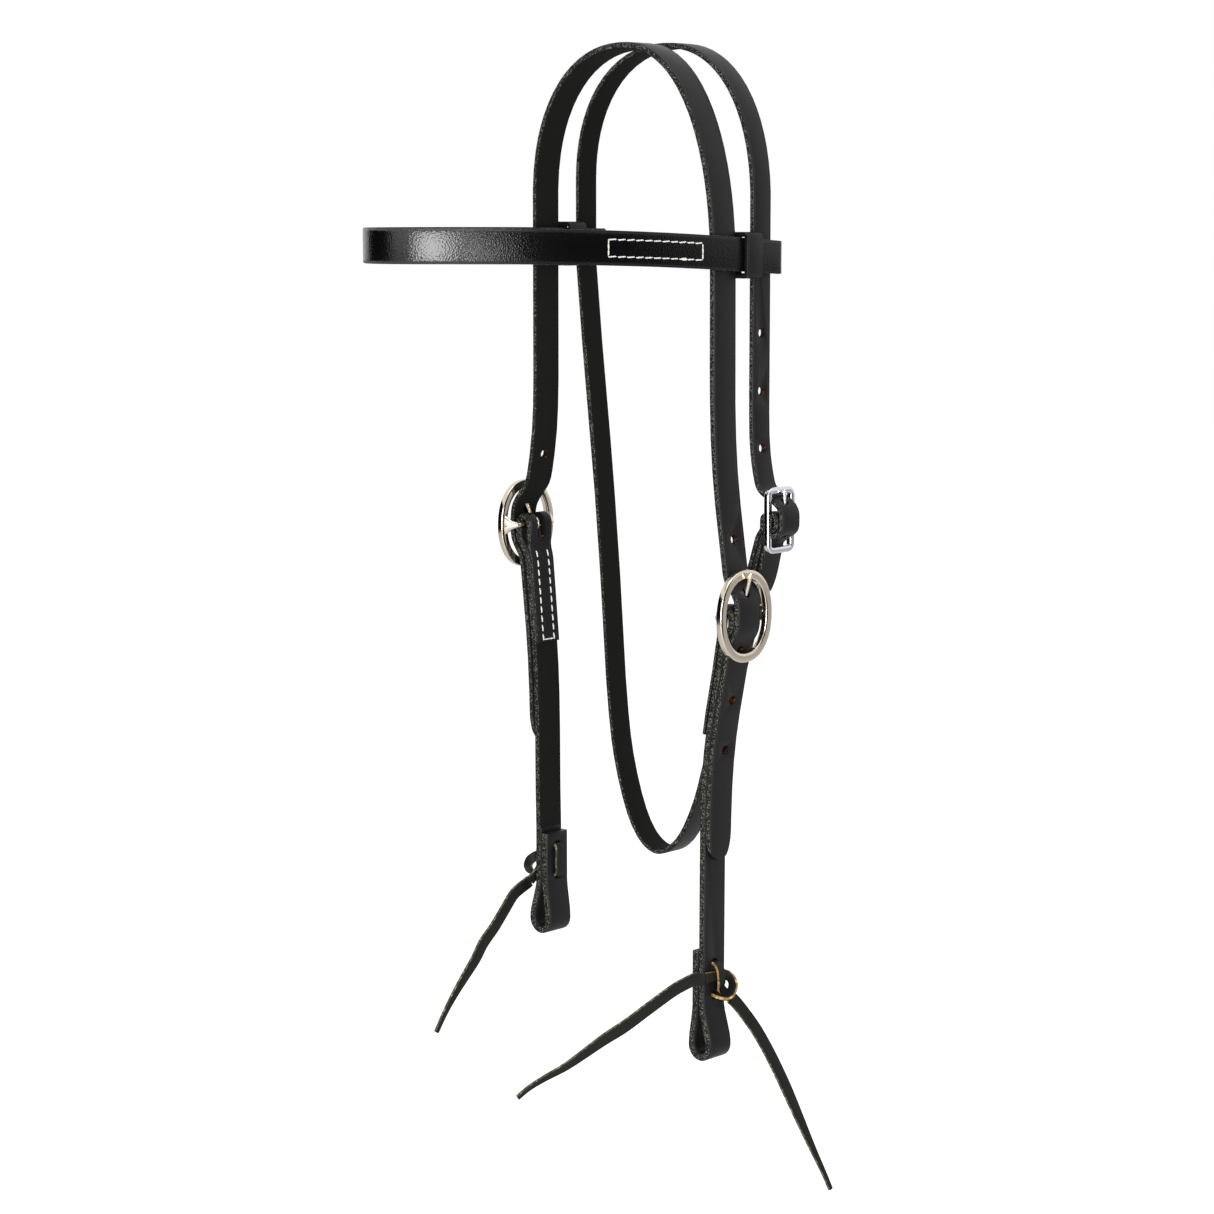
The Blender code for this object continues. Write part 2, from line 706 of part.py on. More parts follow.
def join_bar(frame, bar):
    # The bar becomes one body with its frame
    bar.hide_render = True
    bar.display_type = "WIRE"
    joined = frame.modifiers.new("bar", "BOOLEAN")
    joined.operation = "UNION"
    joined.solver = "EXACT"
    joined.object = bar


def make_cheek_buckle(side):
    crossing = cheeks[side]["crossing"]
    ring_out = crossing.bar_out + bar_drop
    line = oval_line(side, ring_out, crossing.bar_z, (ring_width - ring_face) / 2,
                     (ring_height - ring_face) / 2)
    ring = sweep(side + "_cheek_buckle_frame", line, Vector((1, 0, 0)), ring_thickness,
                 ring_face, warm_nickel, closed=True)
    lug_back = (ring_width - ring_face) / 2
    stations = (
        (bar_drop, lug_back, lug_height, lug_thickness),
        (0.72 * bar_drop, lug_back - 0.2 * lug_lean, lug_height, lug_thickness),
        (0.3 * bar_drop, lug_back - 0.6 * lug_lean, 0.5 * lug_height, lug_thickness),
        (0.0, lug_back - lug_lean, bar_diameter, bar_diameter),
        (0.0, lug_back - lug_lean - 0.5 * bar_diameter, bar_diameter, bar_diameter),
    )
    stations = stations + tuple((u, -y, w, t) for u, y, w, t in reversed(stations))
    bar_line = [place(side, crossing.bar_out + u, y, crossing.bar_z) for u, y, w, t in stations]
    bar = sweep(side + "_bar_body", bar_line, Vector((0, 0, 1)), [s[2] for s in stations],
                [s[3] for s in stations], warm_nickel, section=round_section,
                keep=list(range(len(stations))))
    join_bar(ring, bar)


def make_throat_buckle():
    half_w = (frame_width - frame_wire) / 2
    half_h = (frame_height - frame_wire) / 2
    line = []
    corner = frame_corner
    for y_sign, z_sign, start in ((1, 1, 0.0), (-1, 1, 0.5), (-1, -1, 1.0), (1, -1, 1.5)):
        for k in range(4):
            angle = math.pi * (start + 0.5 * k / 3)
            line.append(place("near", frame_out,
                              throat_back + y_sign * (half_w - corner) + corner * math.cos(angle),
                              frame_z + z_sign * (half_h - corner) + corner * math.sin(angle)))
    frame = sweep("throatlatch_buckle_frame", line, Vector((1, 0, 0)), frame_wire, frame_wire,
                  bright_chrome, closed=True)
    ends = [place("near", frame_out, throat_back + y, frame_z) for y in (-half_w, half_w)]
    bar = sweep("throat_bar_body", ends, Vector((0, 0, 1)), frame_wire, frame_wire,
                bright_chrome, section=round_section, keep=[0, 1])
    join_bar(frame, bar)


def make_tongue(name, side, bar_out, bar_z, back, rim_reach, rim_front, rim_face, radius,
                material):
    # An eye round the bar, then a straight tongue whose tip lies on the rim
    root, heading, lean, eye_radius = tongue_line(rim_reach, rim_front, radius)
    flat = []
    for k in range(eye_steps):
        angle = lean - 0.5 * math.pi - tongue_eye_turn * (1 - k / eye_steps)
        flat.append(Vector((eye_radius * math.cos(angle), eye_radius * math.sin(angle))))
    reach = (rim_reach + 0.8 * rim_face - root.y) / heading.y
    tip_from = reach - 1.6 * tongue_diameter
    flat += [root, root + heading * (0.5 * tip_from), root + heading * tip_from,
             root + heading * (reach - 0.5 * tongue_diameter), root + heading * reach]
    line = [place(side, bar_out + p.x, back, bar_z + p.y) for p in flat]
    sizes = [tongue_diameter] * (len(line) - 2) + [0.85 * tongue_diameter, 0.5 * tongue_diameter]
    sizes[-3] = tongue_diameter
    tongue = sweep(name, line, Vector((0, 1, 0)), sizes, sizes, material,
                   section=round_section, keep=list(range(len(line))))
    pivot = place(side, bar_out, back, bar_z)
    tongue.data.transform(Matrix.Translation(-pivot))
    tongue.location = pivot


# Browband

band_turn_centre = throat_back + throat_width / 2 + seat_gap


def ply_out(side):
    return strap_out[side] - band_inset + band_turn_radius


def ply_in(side):
    return strap_out[side] - band_inset - band_turn_radius


def band_centre_z(point):
    # The band lies a little lower towards its ends, most of all the near one
    back_share = max(0.0, (point.y + band_depth) / (band_turn_centre + band_depth))
    near_share = 0.5 + 0.5 * max(-1.0, min(1.0, point.x / ply_out("near")))
    sag = band_off_sag + (band_near_sag - band_off_sag) * near_share
    return band_z - sag * back_share ** band_sag_power


def band_plan():
    # The outer ply in plan, from its near fold round the forehead to its off fold
    near_leg = [place("near", ply_out("near"), y, 0.0) for y in heights(band_turn_centre, 0.0)]
    off_leg = [place("off", ply_out("off"), y, 0.0) for y in heights(band_turn_centre, 0.0)]
    middle = (ply_out("near") - ply_out("off")) / 2
    half_width = (ply_out("near") + ply_out("off")) / 2
    bow = []
    for k in range(bow_steps + 1):
        angle = math.pi * k / bow_steps
        bow.append(Vector((middle + half_width * math.cos(angle), -band_depth * math.sin(angle),
                           0.0)))
    return join_lines(near_leg, bow, off_leg[::-1])


def make_browband():
    outer = band_plan()
    pitch = band_thickness + seat_gap
    clear = band_turn_centre + crown_width / 2 + seat_gap

    def inner_ply(line):
        # From the fold forward inside both straps, closing on the outer ply ahead of them
        along = line_lengths(line)
        apart = [pitch + (2 * band_turn_radius - pitch)
                 * (1 - smooth_step((s - clear) / (band_join - crown_width / 2))) for s in along]
        turned = shift_line(line, Vector((0, 0, -math.copysign(1, line[0].x))), apart)
        return [p for p, s in zip(turned, along) if s <= band_turn_centre + band_turn_end]

    def fold(side):
        points = []
        for k in range(turn_steps + 1):
            angle = math.pi * k / turn_steps
            points.append(place(side, ply_in(side) + band_turn_radius * (1 + math.cos(angle)),
                                band_turn_centre + band_turn_radius * math.sin(angle), 0.0))
        return points

    near_inner = inner_ply(outer)
    off_inner = inner_ply(outer[::-1])
    plan = join_lines(near_inner[::-1], fold("near")[::-1], outer, fold("off"), off_inner)
    line = [Vector((p.x, p.y, band_centre_z(p))) for p in plan]
    # Each fold's corners are rounded off
    corner_from = band_turn_centre + band_turn_radius - band_corner_run
    heights_along = [band_height - band_corner_draw
                     * max(0.0, (p.y - corner_from) / band_corner_run) ** 2 for p in line]
    sweep("browband", line, Vector((0, 0, 1)), heights_along, band_thickness, black_leather)
    return outer


def make_keeper(side):
    # A leather ring round both plies, between the crown strap and the throatlatch
    back = (crown_width / 2 + throat_back - throat_width / 2) / 2
    centre_z = band_centre_z(place(side, ply_out(side), back, 0.0))
    clear = band_thickness / 2 + seat_gap + keeper_thickness / 2
    inner_out, outer_out = ply_in(side) - clear, ply_out(side) + clear
    low = centre_z - band_height / 2 - keeper_drop + keeper_thickness / 2
    high = centre_z + band_height / 2 + keeper_rise - keeper_thickness / 2
    corners = (((outer_out, low), (-1, 1)), ((outer_out, high), (-1, -1)),
               ((inner_out, high), (1, -1)), ((inner_out, low), (1, 1)))
    line = []
    for i, ((out, z), (in_sign, up_sign)) in enumerate(corners):
        before_run, after_run = (keeper_turn, 0.0), (0.0, keeper_turn)
        if i % 2:
            before_run, after_run = after_run, before_run
        middle_run = (keeper_corner, keeper_corner)
        for run_in, run_up in (before_run, middle_run, after_run):
            line.append(place(side, out + in_sign * run_in, back, z + up_sign * run_up))
    sweep(side + "_browband_keeper", line, Vector((0, 1, 0)), keeper_width, keeper_thickness,
          black_leather, closed=True)


# Stitching

def make_band_stitching(side, outer):
    # A box of thread on the outer ply
    plan = outer if side == "near" else outer[::-1]
    lengths = line_lengths(plan)
    lift = band_thickness / 2 + seat_gap + thread_thickness / 2
    surface = shift_line(plan, Vector((0, 0, side_sign[side])), [lift] * len(plan))
    first = band_turn_centre + band_box_start
    stretch = [Vector((p.x, p.y, band_centre_z(p))) for p, s in zip(surface, lengths)
               if first <= s <= first + band_box_length]
    stretch = [stretch[i] for i in kept_points(stretch, 0, len(stretch) - 1)]
    rise = Vector((0, 0, band_box_height / 2))
    line = [p + rise for p in stretch] + [p - rise for p in reversed(stretch)]
    faces = [Vector((side_sign[side], 0, 0))] * len(line)
    sweep(side + "_browband_stitching", line, faces, thread_thickness, thread_thickness,
          white_thread, section=square_section, closed=True)


def make_fold_stitching(name, inner, across_sign, thicknesses, row_spacing):
    # Two rows and a cross stitch on the turned-back ply, as one U
    surface = shift_line(inner, Vector((0, across_sign, 0)),
                         [t / 2 + seat_gap + thread_thickness / 2 for t in thicknesses])
    lengths = line_lengths(surface)
    stretch = [p for p, s in zip(surface, lengths)
               if fold_stitch_start <= s <= lengths[-1] - thread_thickness * 3]
    stretch = [stretch[i] for i in kept_points(stretch, 0, len(stretch) - 1)]
    half = Vector((0, row_spacing / 2, 0))
    line = [p - half for p in stretch] + [p + half for p in reversed(stretch)]
    sweep(name, line, [Vector((1, 0, 0))] * len(line), thread_thickness, thread_thickness,
          white_thread, section=square_section, keep=list(range(len(line))))


# Tie ends. Each row is a place of the thong (out of the cheek's outer face, back, up from the
# upper hole), the way its width lies, and its width and thickness there, all in millimetres

knot_route = (
    ((2.2, 9.8, -19.6), (0.0, 0.78, 0.62), 5.4, 2.0),
    ((1.5, 7.0, -17.2), (0.0, 0.77, 0.64), 5.0, 2.0),
    ((1.35, 4.6, -15.0), (0.0, 0.76, 0.65), 4.8, 2.0),
    ((2.0, 2.6, -13.0), (0.0, 0.86, 0.5), 4.6, 2.0),
    ((3.5, 1.3, -10.4), (0.0, 0.97, 0.25), 4.6, 2.0),
    ((3.8, 0.8, -7.6), (0.0, 1.0, 0.0), 4.8, 2.0),
    ((3.75, 0.4, -3.9), (0.0, 1.0, 0.0), 4.8, 2.0),
    ((2.7, 0.1, -1.5), (0.0, 1.0, 0.0), 4.2, 2.1),
    ((0.4, 0.0, -0.2), (0.0, 1.0, 0.0), 3.7, 2.3),
    ((-4.15, 0.0, 0.0), (0.0, 1.0, 0.0), 3.7, 2.3),
    ((-8.3, 0.0, -0.3), (0.0, 1.0, 0.0), 3.8, 2.2),
    ((-9.7, 0.0, -2.6), (0.0, 1.0, 0.0), 4.6, 2.0),
    ((-9.7, 0.0, -8.25), (0.0, 1.0, 0.0), 5.0, 2.0),
    ((-9.7, 0.0, -13.9), (0.0, 1.0, 0.0), 4.6, 2.0),
    ((-8.3, 0.0, -16.2), (0.0, 1.0, 0.0), 3.8, 2.2),
    ((-4.15, 0.0, -16.5), (0.0, 1.0, 0.0), 3.7, 2.3),
    ((0.3, 0.0, -16.5), (0.0, 1.0, 0.0), 3.7, 2.3),
    ((2.9, -0.2, -17.0), (-0.6, 0.8, 0.0), 4.0, 2.2),
    ((5.4, 1.8, -17.6), (-0.96, 0.25, 0.0), 4.6, 2.0),
    ((5.9, 5.4, -16.4), (-1.0, 0.0, 0.0), 5.0, 2.0),
    ((5.0, 8.6, -12.6), (-1.0, 0.0, 0.0), 5.0, 2.0),
    ((3.6, 8.7, -9.3), (-0.8, 0.0, -0.6), 5.0, 2.0),
    ((2.0, 6.6, -7.2), (-0.25, 0.0, -0.97), 5.0, 2.0),
    ((1.35, 3.6, -6.5), (0.0, 0.0, -1.0), 4.6, 2.0),
    ((1.35, -2.0, -6.4), (0.0, 0.0, -1.0), 4.6, 2.0),
    ((1.5, -7.0, -6.2), (0.0, 0.1, -0.99), 5.2, 2.0),
    ((2.0, -10.4, -6.0), (0.0, 0.05, -1.0), 5.6, 2.0),
)

# Free tails of the thongs: places in the same axes, from the knot to the cut tip
near_front_tail = (
    (2.07, -10.87, -5.97), (2.4, -14.0, -5.5), (2.3, -18.0, -4.6), (1.9, -26.0, -5.8),
    (1.3, -34.3, -7.9), (-1.1, -48.6, -14.0), (-4.5, -61.6, -20.6), (-8.8, -73.6, -26.4),
    (-16.2, -90.0, -36.5), (-21.9, -100.2, -41.9), (-26.1, -107.1, -46.2), (-29.4, -112.1, -50.8),
)
near_back_tail = (
    (2.3, 10.15, -19.9), (3.0, 12.7, -22.3), (5.5, 16.2, -27.8), (9.0, 22.5, -38.1),
    (12.5, 29.6, -52.1), (16.1, 36.7, -68.4), (19.5, 43.4, -85.2), (23.1, 50.7, -103.3),
    (26.2, 56.9, -118.1), (28.1, 60.6, -127.8),
)
off_front_tail = (
    (2.3, -10.15, -19.9), (2.6, -12.6, -21.2), (1.8, -17.0, -22.2), (1.3, -23.4, -25.0),
    (1.0, -30.5, -31.9), (0.6, -38.4, -39.5), (0.2, -46.9, -46.4), (-0.2, -53.1, -53.7),
    (-0.5, -60.8, -61.1), (-0.9, -68.5, -68.6), (-1.3, -76.1, -77.0), (-1.6, -82.9, -86.1),
)
off_back_tail = (
    (2.07, 10.87, -5.97), (3.2, 14.0, -5.9), (6.6, 18.0, -6.7), (11.8, 22.0, -8.6),
    (18.6, 29.3, -12.4), (25.4, 36.6, -16.8), (33.6, 45.4, -22.8), (41.8, 54.2, -29.4),
    (50.0, 63.0, -36.4), (58.8, 72.4, -44.0),
)


def tie_point(side, out, back, up):
    face = cheeks[side]["loop_out"] + (cheek_thickness + seat_gap) / 2 + cheek_thickness / 2
    return place(side, face + out * mm, back * mm, cheeks[side]["hole_z"] + up * mm)


def make_knot(side):
    # The thong's middle: through both holes, its ends crossed on the outer face. The off
    # knot is the near one turned half round, so its lower end leaves to the front
    turn = side_sign[side]
    rows = [(tie_point(side, at[0], turn * at[1], at[2]),
             Vector((turn * wide_way[0], turn * wide_way[1], wide_way[2])), wide, thick)
            for at, wide_way, wide, thick in knot_route]
    line, across, widths, thicknesses = [], [], [], []
    padded = [rows[0]] + rows + [rows[-1]]
    for a, b, c, d in zip(padded, padded[1:], padded[2:], padded[3:]):
        for k in range(knot_steps):
            t = k / knot_steps
            line.append(0.5 * (2 * b[0] + (c[0] - a[0]) * t
                               + (2 * a[0] - 5 * b[0] + 4 * c[0] - d[0]) * t * t
                               + (3 * b[0] - a[0] - 3 * c[0] + d[0]) * t * t * t))
            across.append((b[1] * (1 - t) + c[1] * t).normalized())
            widths.append((b[2] * (1 - t) + c[2] * t) * mm)
            thicknesses.append((b[3] * (1 - t) + c[3] * t) * mm)
    line.append(rows[-1][0])
    across.append(rows[-1][1].normalized())
    widths.append(rows[-1][2] * mm)
    thicknesses.append(rows[-1][3] * mm)
    keep = list(range(0, len(line) - 1, knot_keep)) + [len(line) - 1]
    sweep(side + "_tie", line, across, widths, thicknesses, thong_leather, keep=keep)


def make_tail(name, side, route):
    # A flat tail that keeps its width and then draws in to a square-cut tip
    line = smooth_line([tie_point(side, *at) for at in route])
    lengths = line_lengths(line)
    widths = []
    for s in lengths:
        fade = smooth_step((s / lengths[-1] - 1 + thong_taper_share) / thong_taper_share)
        widths.append(thong_width * (1 - (1 - thong_tip_share) * fade))
    across = [tangent(line, i).cross(Vector((1, 0, 0))) for i in range(len(line))]
    sweep(name, line, across, widths, thong_thickness, thong_leather)


make_crown_strap()
throat_inner = make_throatlatch()
band_outer = make_browband()
make_throat_buckle()
make_tongue("throatlatch_buckle_tongue", "near", frame_out, frame_z, throat_back,
            frame_inner_reach, frame_front, frame_wire, frame_front, bright_chrome)
make_fold_stitching("throatlatch_stitching", throat_inner, 1.0,
                    [throat_thickness] * len(throat_inner), throat_row_spacing)
for side, cheek in cheeks.items():
    make_keeper(side)
    make_band_stitching(side, band_outer)
    fold_inner, fold_thicknesses = make_cheek_piece(side)
    make_fold_stitching(side + "_cheek_stitching", fold_inner, side_sign[side],
                        fold_thicknesses, fold_row_spacing)
    make_cheek_buckle(side)
    make_tongue(side + "_cheek_buckle_tongue", side, cheek["crossing"].bar_out,
                cheek["crossing"].bar_z, 0.0, ring_inner_reach, ring_front, ring_face,
                bar_radius, warm_nickel)
    make_knot(side)
make_tail("near_tie_front_tail", "near", near_front_tail)
make_tail("near_tie_back_tail", "near", near_back_tail)
make_tail("off_tie_front_tail", "off", off_front_tail)
make_tail("off_tie_back_tail", "off", off_back_tail)
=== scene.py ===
# Black western browband headstall with leather tie ends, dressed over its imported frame
import json
import math

import bmesh
import bpy
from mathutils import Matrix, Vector
from mathutils.bvhtree import BVHTree


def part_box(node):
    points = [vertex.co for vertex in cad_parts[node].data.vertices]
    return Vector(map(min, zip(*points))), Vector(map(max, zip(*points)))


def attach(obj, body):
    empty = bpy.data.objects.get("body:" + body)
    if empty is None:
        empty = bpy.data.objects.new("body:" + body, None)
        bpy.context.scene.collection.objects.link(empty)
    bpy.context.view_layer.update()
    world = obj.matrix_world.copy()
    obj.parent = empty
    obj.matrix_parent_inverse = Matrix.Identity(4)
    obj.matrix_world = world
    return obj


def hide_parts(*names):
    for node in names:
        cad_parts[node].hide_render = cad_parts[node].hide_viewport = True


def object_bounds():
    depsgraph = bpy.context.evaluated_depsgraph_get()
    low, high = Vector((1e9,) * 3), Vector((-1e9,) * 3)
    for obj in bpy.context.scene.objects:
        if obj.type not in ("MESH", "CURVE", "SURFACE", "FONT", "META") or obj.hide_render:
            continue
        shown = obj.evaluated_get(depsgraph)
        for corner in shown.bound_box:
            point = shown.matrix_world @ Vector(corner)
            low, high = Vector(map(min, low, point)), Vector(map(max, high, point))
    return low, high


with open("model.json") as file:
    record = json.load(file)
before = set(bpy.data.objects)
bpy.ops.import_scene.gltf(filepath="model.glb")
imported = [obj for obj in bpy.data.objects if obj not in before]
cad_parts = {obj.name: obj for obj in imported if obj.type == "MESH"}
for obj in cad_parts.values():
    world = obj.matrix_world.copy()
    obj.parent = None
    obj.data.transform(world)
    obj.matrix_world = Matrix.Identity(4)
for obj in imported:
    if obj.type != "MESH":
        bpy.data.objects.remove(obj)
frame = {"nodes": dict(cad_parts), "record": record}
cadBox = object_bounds()
nodes = frame["nodes"]
bodyOf = {node: body for body, members in frame["record"]["behaviour"]["bodies"].items()
          for node in members}
mm = 0.001
xAxis, zAxis = Vector((1, 0, 0)), Vector((0, 0, 1))
sideSign = {"near": 1.0, "off": -1.0}

print("camera")
camera = {"target": Vector((-0.0093, -0.0087, -0.2797)), "azimuth": 43.0, "elevation": 8.0,
          "distance": 1.45, "lens": 84.28}


def placeAround(thing, azimuth, elevation, distance):
    # Stands a thing on a sphere round the headstall and turns it to face the middle
    around, above = math.radians(azimuth), math.radians(elevation)
    way = Vector((math.sin(around) * math.cos(above), -math.cos(around) * math.cos(above),
                  math.sin(above)))
    thing.location = camera["target"] + way * distance
    thing.rotation_euler = (-way).to_track_quat("-Z", "Y").to_euler()


cameraData = bpy.data.cameras.new("camera")
cameraData.lens = camera["lens"]
cameraObject = bpy.data.objects.new("camera", cameraData)
bpy.context.scene.collection.objects.link(cameraObject)
placeAround(cameraObject, camera["azimuth"], camera["elevation"], camera["distance"])
bpy.context.scene.camera = cameraObject


# Materials

def toLinear(code):
    # An sRGB hex colour as the linear values that the shader works in
    parts = [int(code[i:i + 2], 16) / 255 for i in (1, 3, 5)]
    return tuple(c / 12.92 if c <= 0.04045 else ((c + 0.055) / 1.055) ** 2.4
                 for c in parts) + (1.0,)


def addNode(tree, kind, sockets, **settings):
    # A socket is given a value, or (node, output) to link it
    node = tree.nodes.new(kind)
    for name, value in settings.items():
        setattr(node, name, value)
    for socket, value in sockets.items():
        if isinstance(value, tuple) and isinstance(value[0], bpy.types.Node):
            tree.links.new(value[0].outputs[value[1]], node.inputs[socket])
        else:
            node.inputs[socket].default_value = value
    return node


def startMaterial(name):
    material = bpy.data.materials.new(name)
    material.use_nodes = True
    material.node_tree.nodes.clear()
    return material, material.node_tree


# The stretch of a noise texture's values over which its patches change
cloudReach, wearReach = (0.3, 0.7), (0.35, 0.7)


def pressCrease(tree, look):
    # A line pressed in beside each edge, from the half width and place that the points carry
    across = addNode(tree, "ShaderNodeAttribute", {}, attribute_name="fromMiddle")
    side = addNode(tree, "ShaderNodeMath", {0: (across, "Fac")}, operation="ABSOLUTE")
    breadth = addNode(tree, "ShaderNodeAttribute", {}, attribute_name="halfWidth")
    fromEdge = addNode(tree, "ShaderNodeMath", {0: (breadth, "Fac"), 1: (side, 0)},
                       operation="SUBTRACT")
    aside = addNode(tree, "ShaderNodeMath", {0: (fromEdge, 0), 1: look["creaseInset"]},
                    operation="SUBTRACT")
    share = addNode(tree, "ShaderNodeMath", {0: (aside, 0), 1: look["creaseWidth"]},
                    operation="DIVIDE")
    square = addNode(tree, "ShaderNodeMath", {0: (share, 0), 1: (share, 0)},
                     operation="MULTIPLY")
    away = addNode(tree, "ShaderNodeMath", {0: (square, 0), 1: -1.0}, operation="MULTIPLY")
    groove = addNode(tree, "ShaderNodeMath", {0: (away, 0)}, operation="EXPONENT")
    return addNode(tree, "ShaderNodeBump", {
        "Height": (groove, 0), "Strength": 1.0, "Distance": look["creaseDepth"]}, invert=True)


def makeLeatherFace(look):
    # Strap leather: a soft cloudy sheen and fine pores, and on some a crease inside each edge
    made, tree = startMaterial(look["name"])
    place = addNode(tree, "ShaderNodeTexCoord", {})
    clouds = addNode(tree, "ShaderNodeTexNoise", {
        "Vector": (place, "Object"), "Scale": 1 / look["patchSize"], "Detail": 4.0})
    pores = addNode(tree, "ShaderNodeTexVoronoi", {
        "Vector": (place, "Object"), "Scale": 1 / look["poreSize"]})
    colour = addNode(tree, "ShaderNodeMix", {
        0: (clouds, "Fac"), 6: toLinear(look["deep"]), 7: toLinear(look["light"])},
        data_type="RGBA")
    shine = addNode(tree, "ShaderNodeMapRange", {
        "Value": (clouds, "Fac"), "From Min": cloudReach[0], "From Max": cloudReach[1],
        "To Min": look["roughness"] - look["roughnessSpread"],
        "To Max": look["roughness"] + look["roughnessSpread"]})
    relief = {"Height": (pores, "Distance"), "Strength": look["poreStrength"],
              "Distance": look["poreDepth"]}
    if "creaseInset" in look:
        relief["Normal"] = (pressCrease(tree, look), "Normal")
    grained = addNode(tree, "ShaderNodeBump", relief)
    specular = look["specular"]
    if "dullSpecular" in look:
        # The polish fades from the bend in front towards the sides
        along = addNode(tree, "ShaderNodeSeparateXYZ", {"Vector": (place, "Object")})
        faded = addNode(tree, "ShaderNodeMapRange", {
            "Value": (along, "Y"), "From Min": look["polishedTo"], "From Max": look["dullFrom"],
            "To Min": specular, "To Max": look["dullSpecular"]})
        specular = (faded, "Result")
    shader = addNode(tree, "ShaderNodeBsdfPrincipled", {
        "Base Color": (colour, 2), "Roughness": (shine, "Result"),
        "Normal": (grained, "Normal"), "Specular IOR Level": specular})
    addNode(tree, "ShaderNodeOutputMaterial", {"Surface": (shader, "BSDF")})
    return made


def makeCutLeather(look):
    # A cut through leather: dyed fibres left pebbled, with painted highlights where some tips
    # would catch the light
    made, tree = startMaterial(look["name"])
    place = addNode(tree, "ShaderNodeTexCoord", {})
    pebbles = addNode(tree, "ShaderNodeTexVoronoi", {
        "Vector": (place, "Object"), "Scale": 1 / look["pebbleSize"]})
    # Painted highlight: a chosen fibre tip is painted lighter, brightest at its middle
    tip = addNode(tree, "ShaderNodeMapRange", {
        "Value": (pebbles, "Distance"), "From Min": 0.5 * look["tipReach"],
        "From Max": look["tipReach"], "To Min": 1.0, "To Max": 0.0})
    chance = addNode(tree, "ShaderNodeSeparateColor", {"Color": (pebbles, "Color")})
    raised = addNode(tree, "ShaderNodeMapRange", {
        "Value": (chance, "Red"), "From Min": 1 - look["tipShare"], "From Max": 1.0})
    paintedTipHighlight = addNode(tree, "ShaderNodeMath", {0: (tip, "Result"), 1: (raised, "Result")},
                  operation="MULTIPLY")
    colour = addNode(tree, "ShaderNodeMix", {
        0: (paintedTipHighlight, 0), 6: toLinear(look["deep"]), 7: toLinear(look["light"])}, data_type="RGBA")
    rough = addNode(tree, "ShaderNodeBump", {
        "Height": (pebbles, "Distance"), "Strength": look["strength"],
        "Distance": look["depth"]}, invert=True)
    shader = addNode(tree, "ShaderNodeBsdfPrincipled", {
        "Base Color": (colour, 2), "Roughness": look["roughness"],
        "Normal": (rough, "Normal"), "Specular IOR Level": look["specular"]})
    addNode(tree, "ShaderNodeOutputMaterial", {"Surface": (shader, "BSDF")})
    return made


def makePlatedMetal(look):
    # Cast and plated hardware: mirror plating over a faint ripple, a little duller where handled
    made, tree = startMaterial(look["name"])
    place = addNode(tree, "ShaderNodeTexCoord", {})
    ripple = addNode(tree, "ShaderNodeTexNoise", {
        "Vector": (place, "Object"), "Scale": 1 / look["rippleSize"], "Detail": 2.0})
    handled = addNode(tree, "ShaderNodeTexNoise", {
        "Vector": (place, "Object"), "Scale": 1 / look["wearSize"], "Detail": 5.0})
    shine = addNode(tree, "ShaderNodeMapRange", {
        "Value": (handled, "Fac"), "From Min": wearReach[0], "From Max": wearReach[1],
        "To Min": look["roughness"], "To Max": look["wornRoughness"]})
    waves = addNode(tree, "ShaderNodeBump", {
        "Height": (ripple, "Fac"), "Strength": look["rippleStrength"],
        "Distance": look["rippleDepth"]})
    shader = addNode(tree, "ShaderNodeBsdfPrincipled", {
        "Base Color": toLinear(look["colour"]), "Metallic": 1.0,
        "Roughness": (shine, "Result"), "Normal": (waves, "Normal")})
    addNode(tree, "ShaderNodeOutputMaterial", {"Surface": (shader, "BSDF")})
    return made


def makeThread(look):
    # Waxed white polyester thread: fine plies that shade a little into each other
    made, tree = startMaterial(look["name"])
    place = addNode(tree, "ShaderNodeTexCoord", {})
    plies = addNode(tree, "ShaderNodeTexNoise", {
        "Vector": (place, "Object"), "Scale": 1 / look["plySize"], "Detail": 2.0})
    colour = addNode(tree, "ShaderNodeMix", {
        0: (plies, "Fac"), 6: toLinear(look["shade"]), 7: toLinear(look["colour"])},
        data_type="RGBA")
    wound = addNode(tree, "ShaderNodeBump", {
        "Height": (plies, "Fac"), "Strength": look["plyStrength"],
        "Distance": look["plyDepth"]})
    shader = addNode(tree, "ShaderNodeBsdfPrincipled", {
        "Base Color": (colour, 2), "Roughness": look["roughness"],
        "Normal": (wound, "Normal"), "Sheen Weight": look["sheen"]})
    addNode(tree, "ShaderNodeOutputMaterial", {"Surface": (shader, "BSDF")})
    return made


print("materials")
# Dyed, waxed grain side of bridle leather: a near black face with a soft sheen. Its pores are
# about 0.3 mm wide and are drawn coarser, so that they show
bridleGrain = makeLeatherFace({
    "name": "blackBridleGrain", "deep": "#0d0d0e", "light": "#151516", "patchSize": 40 * mm,
    "poreSize": 0.8 * mm, "poreDepth": 0.05 * mm, "poreStrength": 0.35, "roughness": 0.46,
    "roughnessSpread": 0.06, "specular": 0.22, "creaseInset": 1.4 * mm,
    "creaseWidth": 0.28 * mm, "creaseDepth": 0.12 * mm})
# The browband's grain side is deeper black and polished on its bend, where it takes two crisp
# highlights, and duller along its sides
polishedGrain = makeLeatherFace({
    "name": "polishedBandGrain", "deep": "#060607", "light": "#0a0a0b", "patchSize": 40 * mm,
    "poreSize": 0.9 * mm, "poreDepth": 0.12 * mm, "poreStrength": 0.8, "roughness": 0.21,
    "roughnessSpread": 0.03, "specular": 0.8, "dullSpecular": 0.18, "polishedTo": -148 * mm,
    "dullFrom": -112 * mm, "creaseInset": 0.4 * mm, "creaseWidth": 0.6 * mm,
    "creaseDepth": 0.35 * mm})
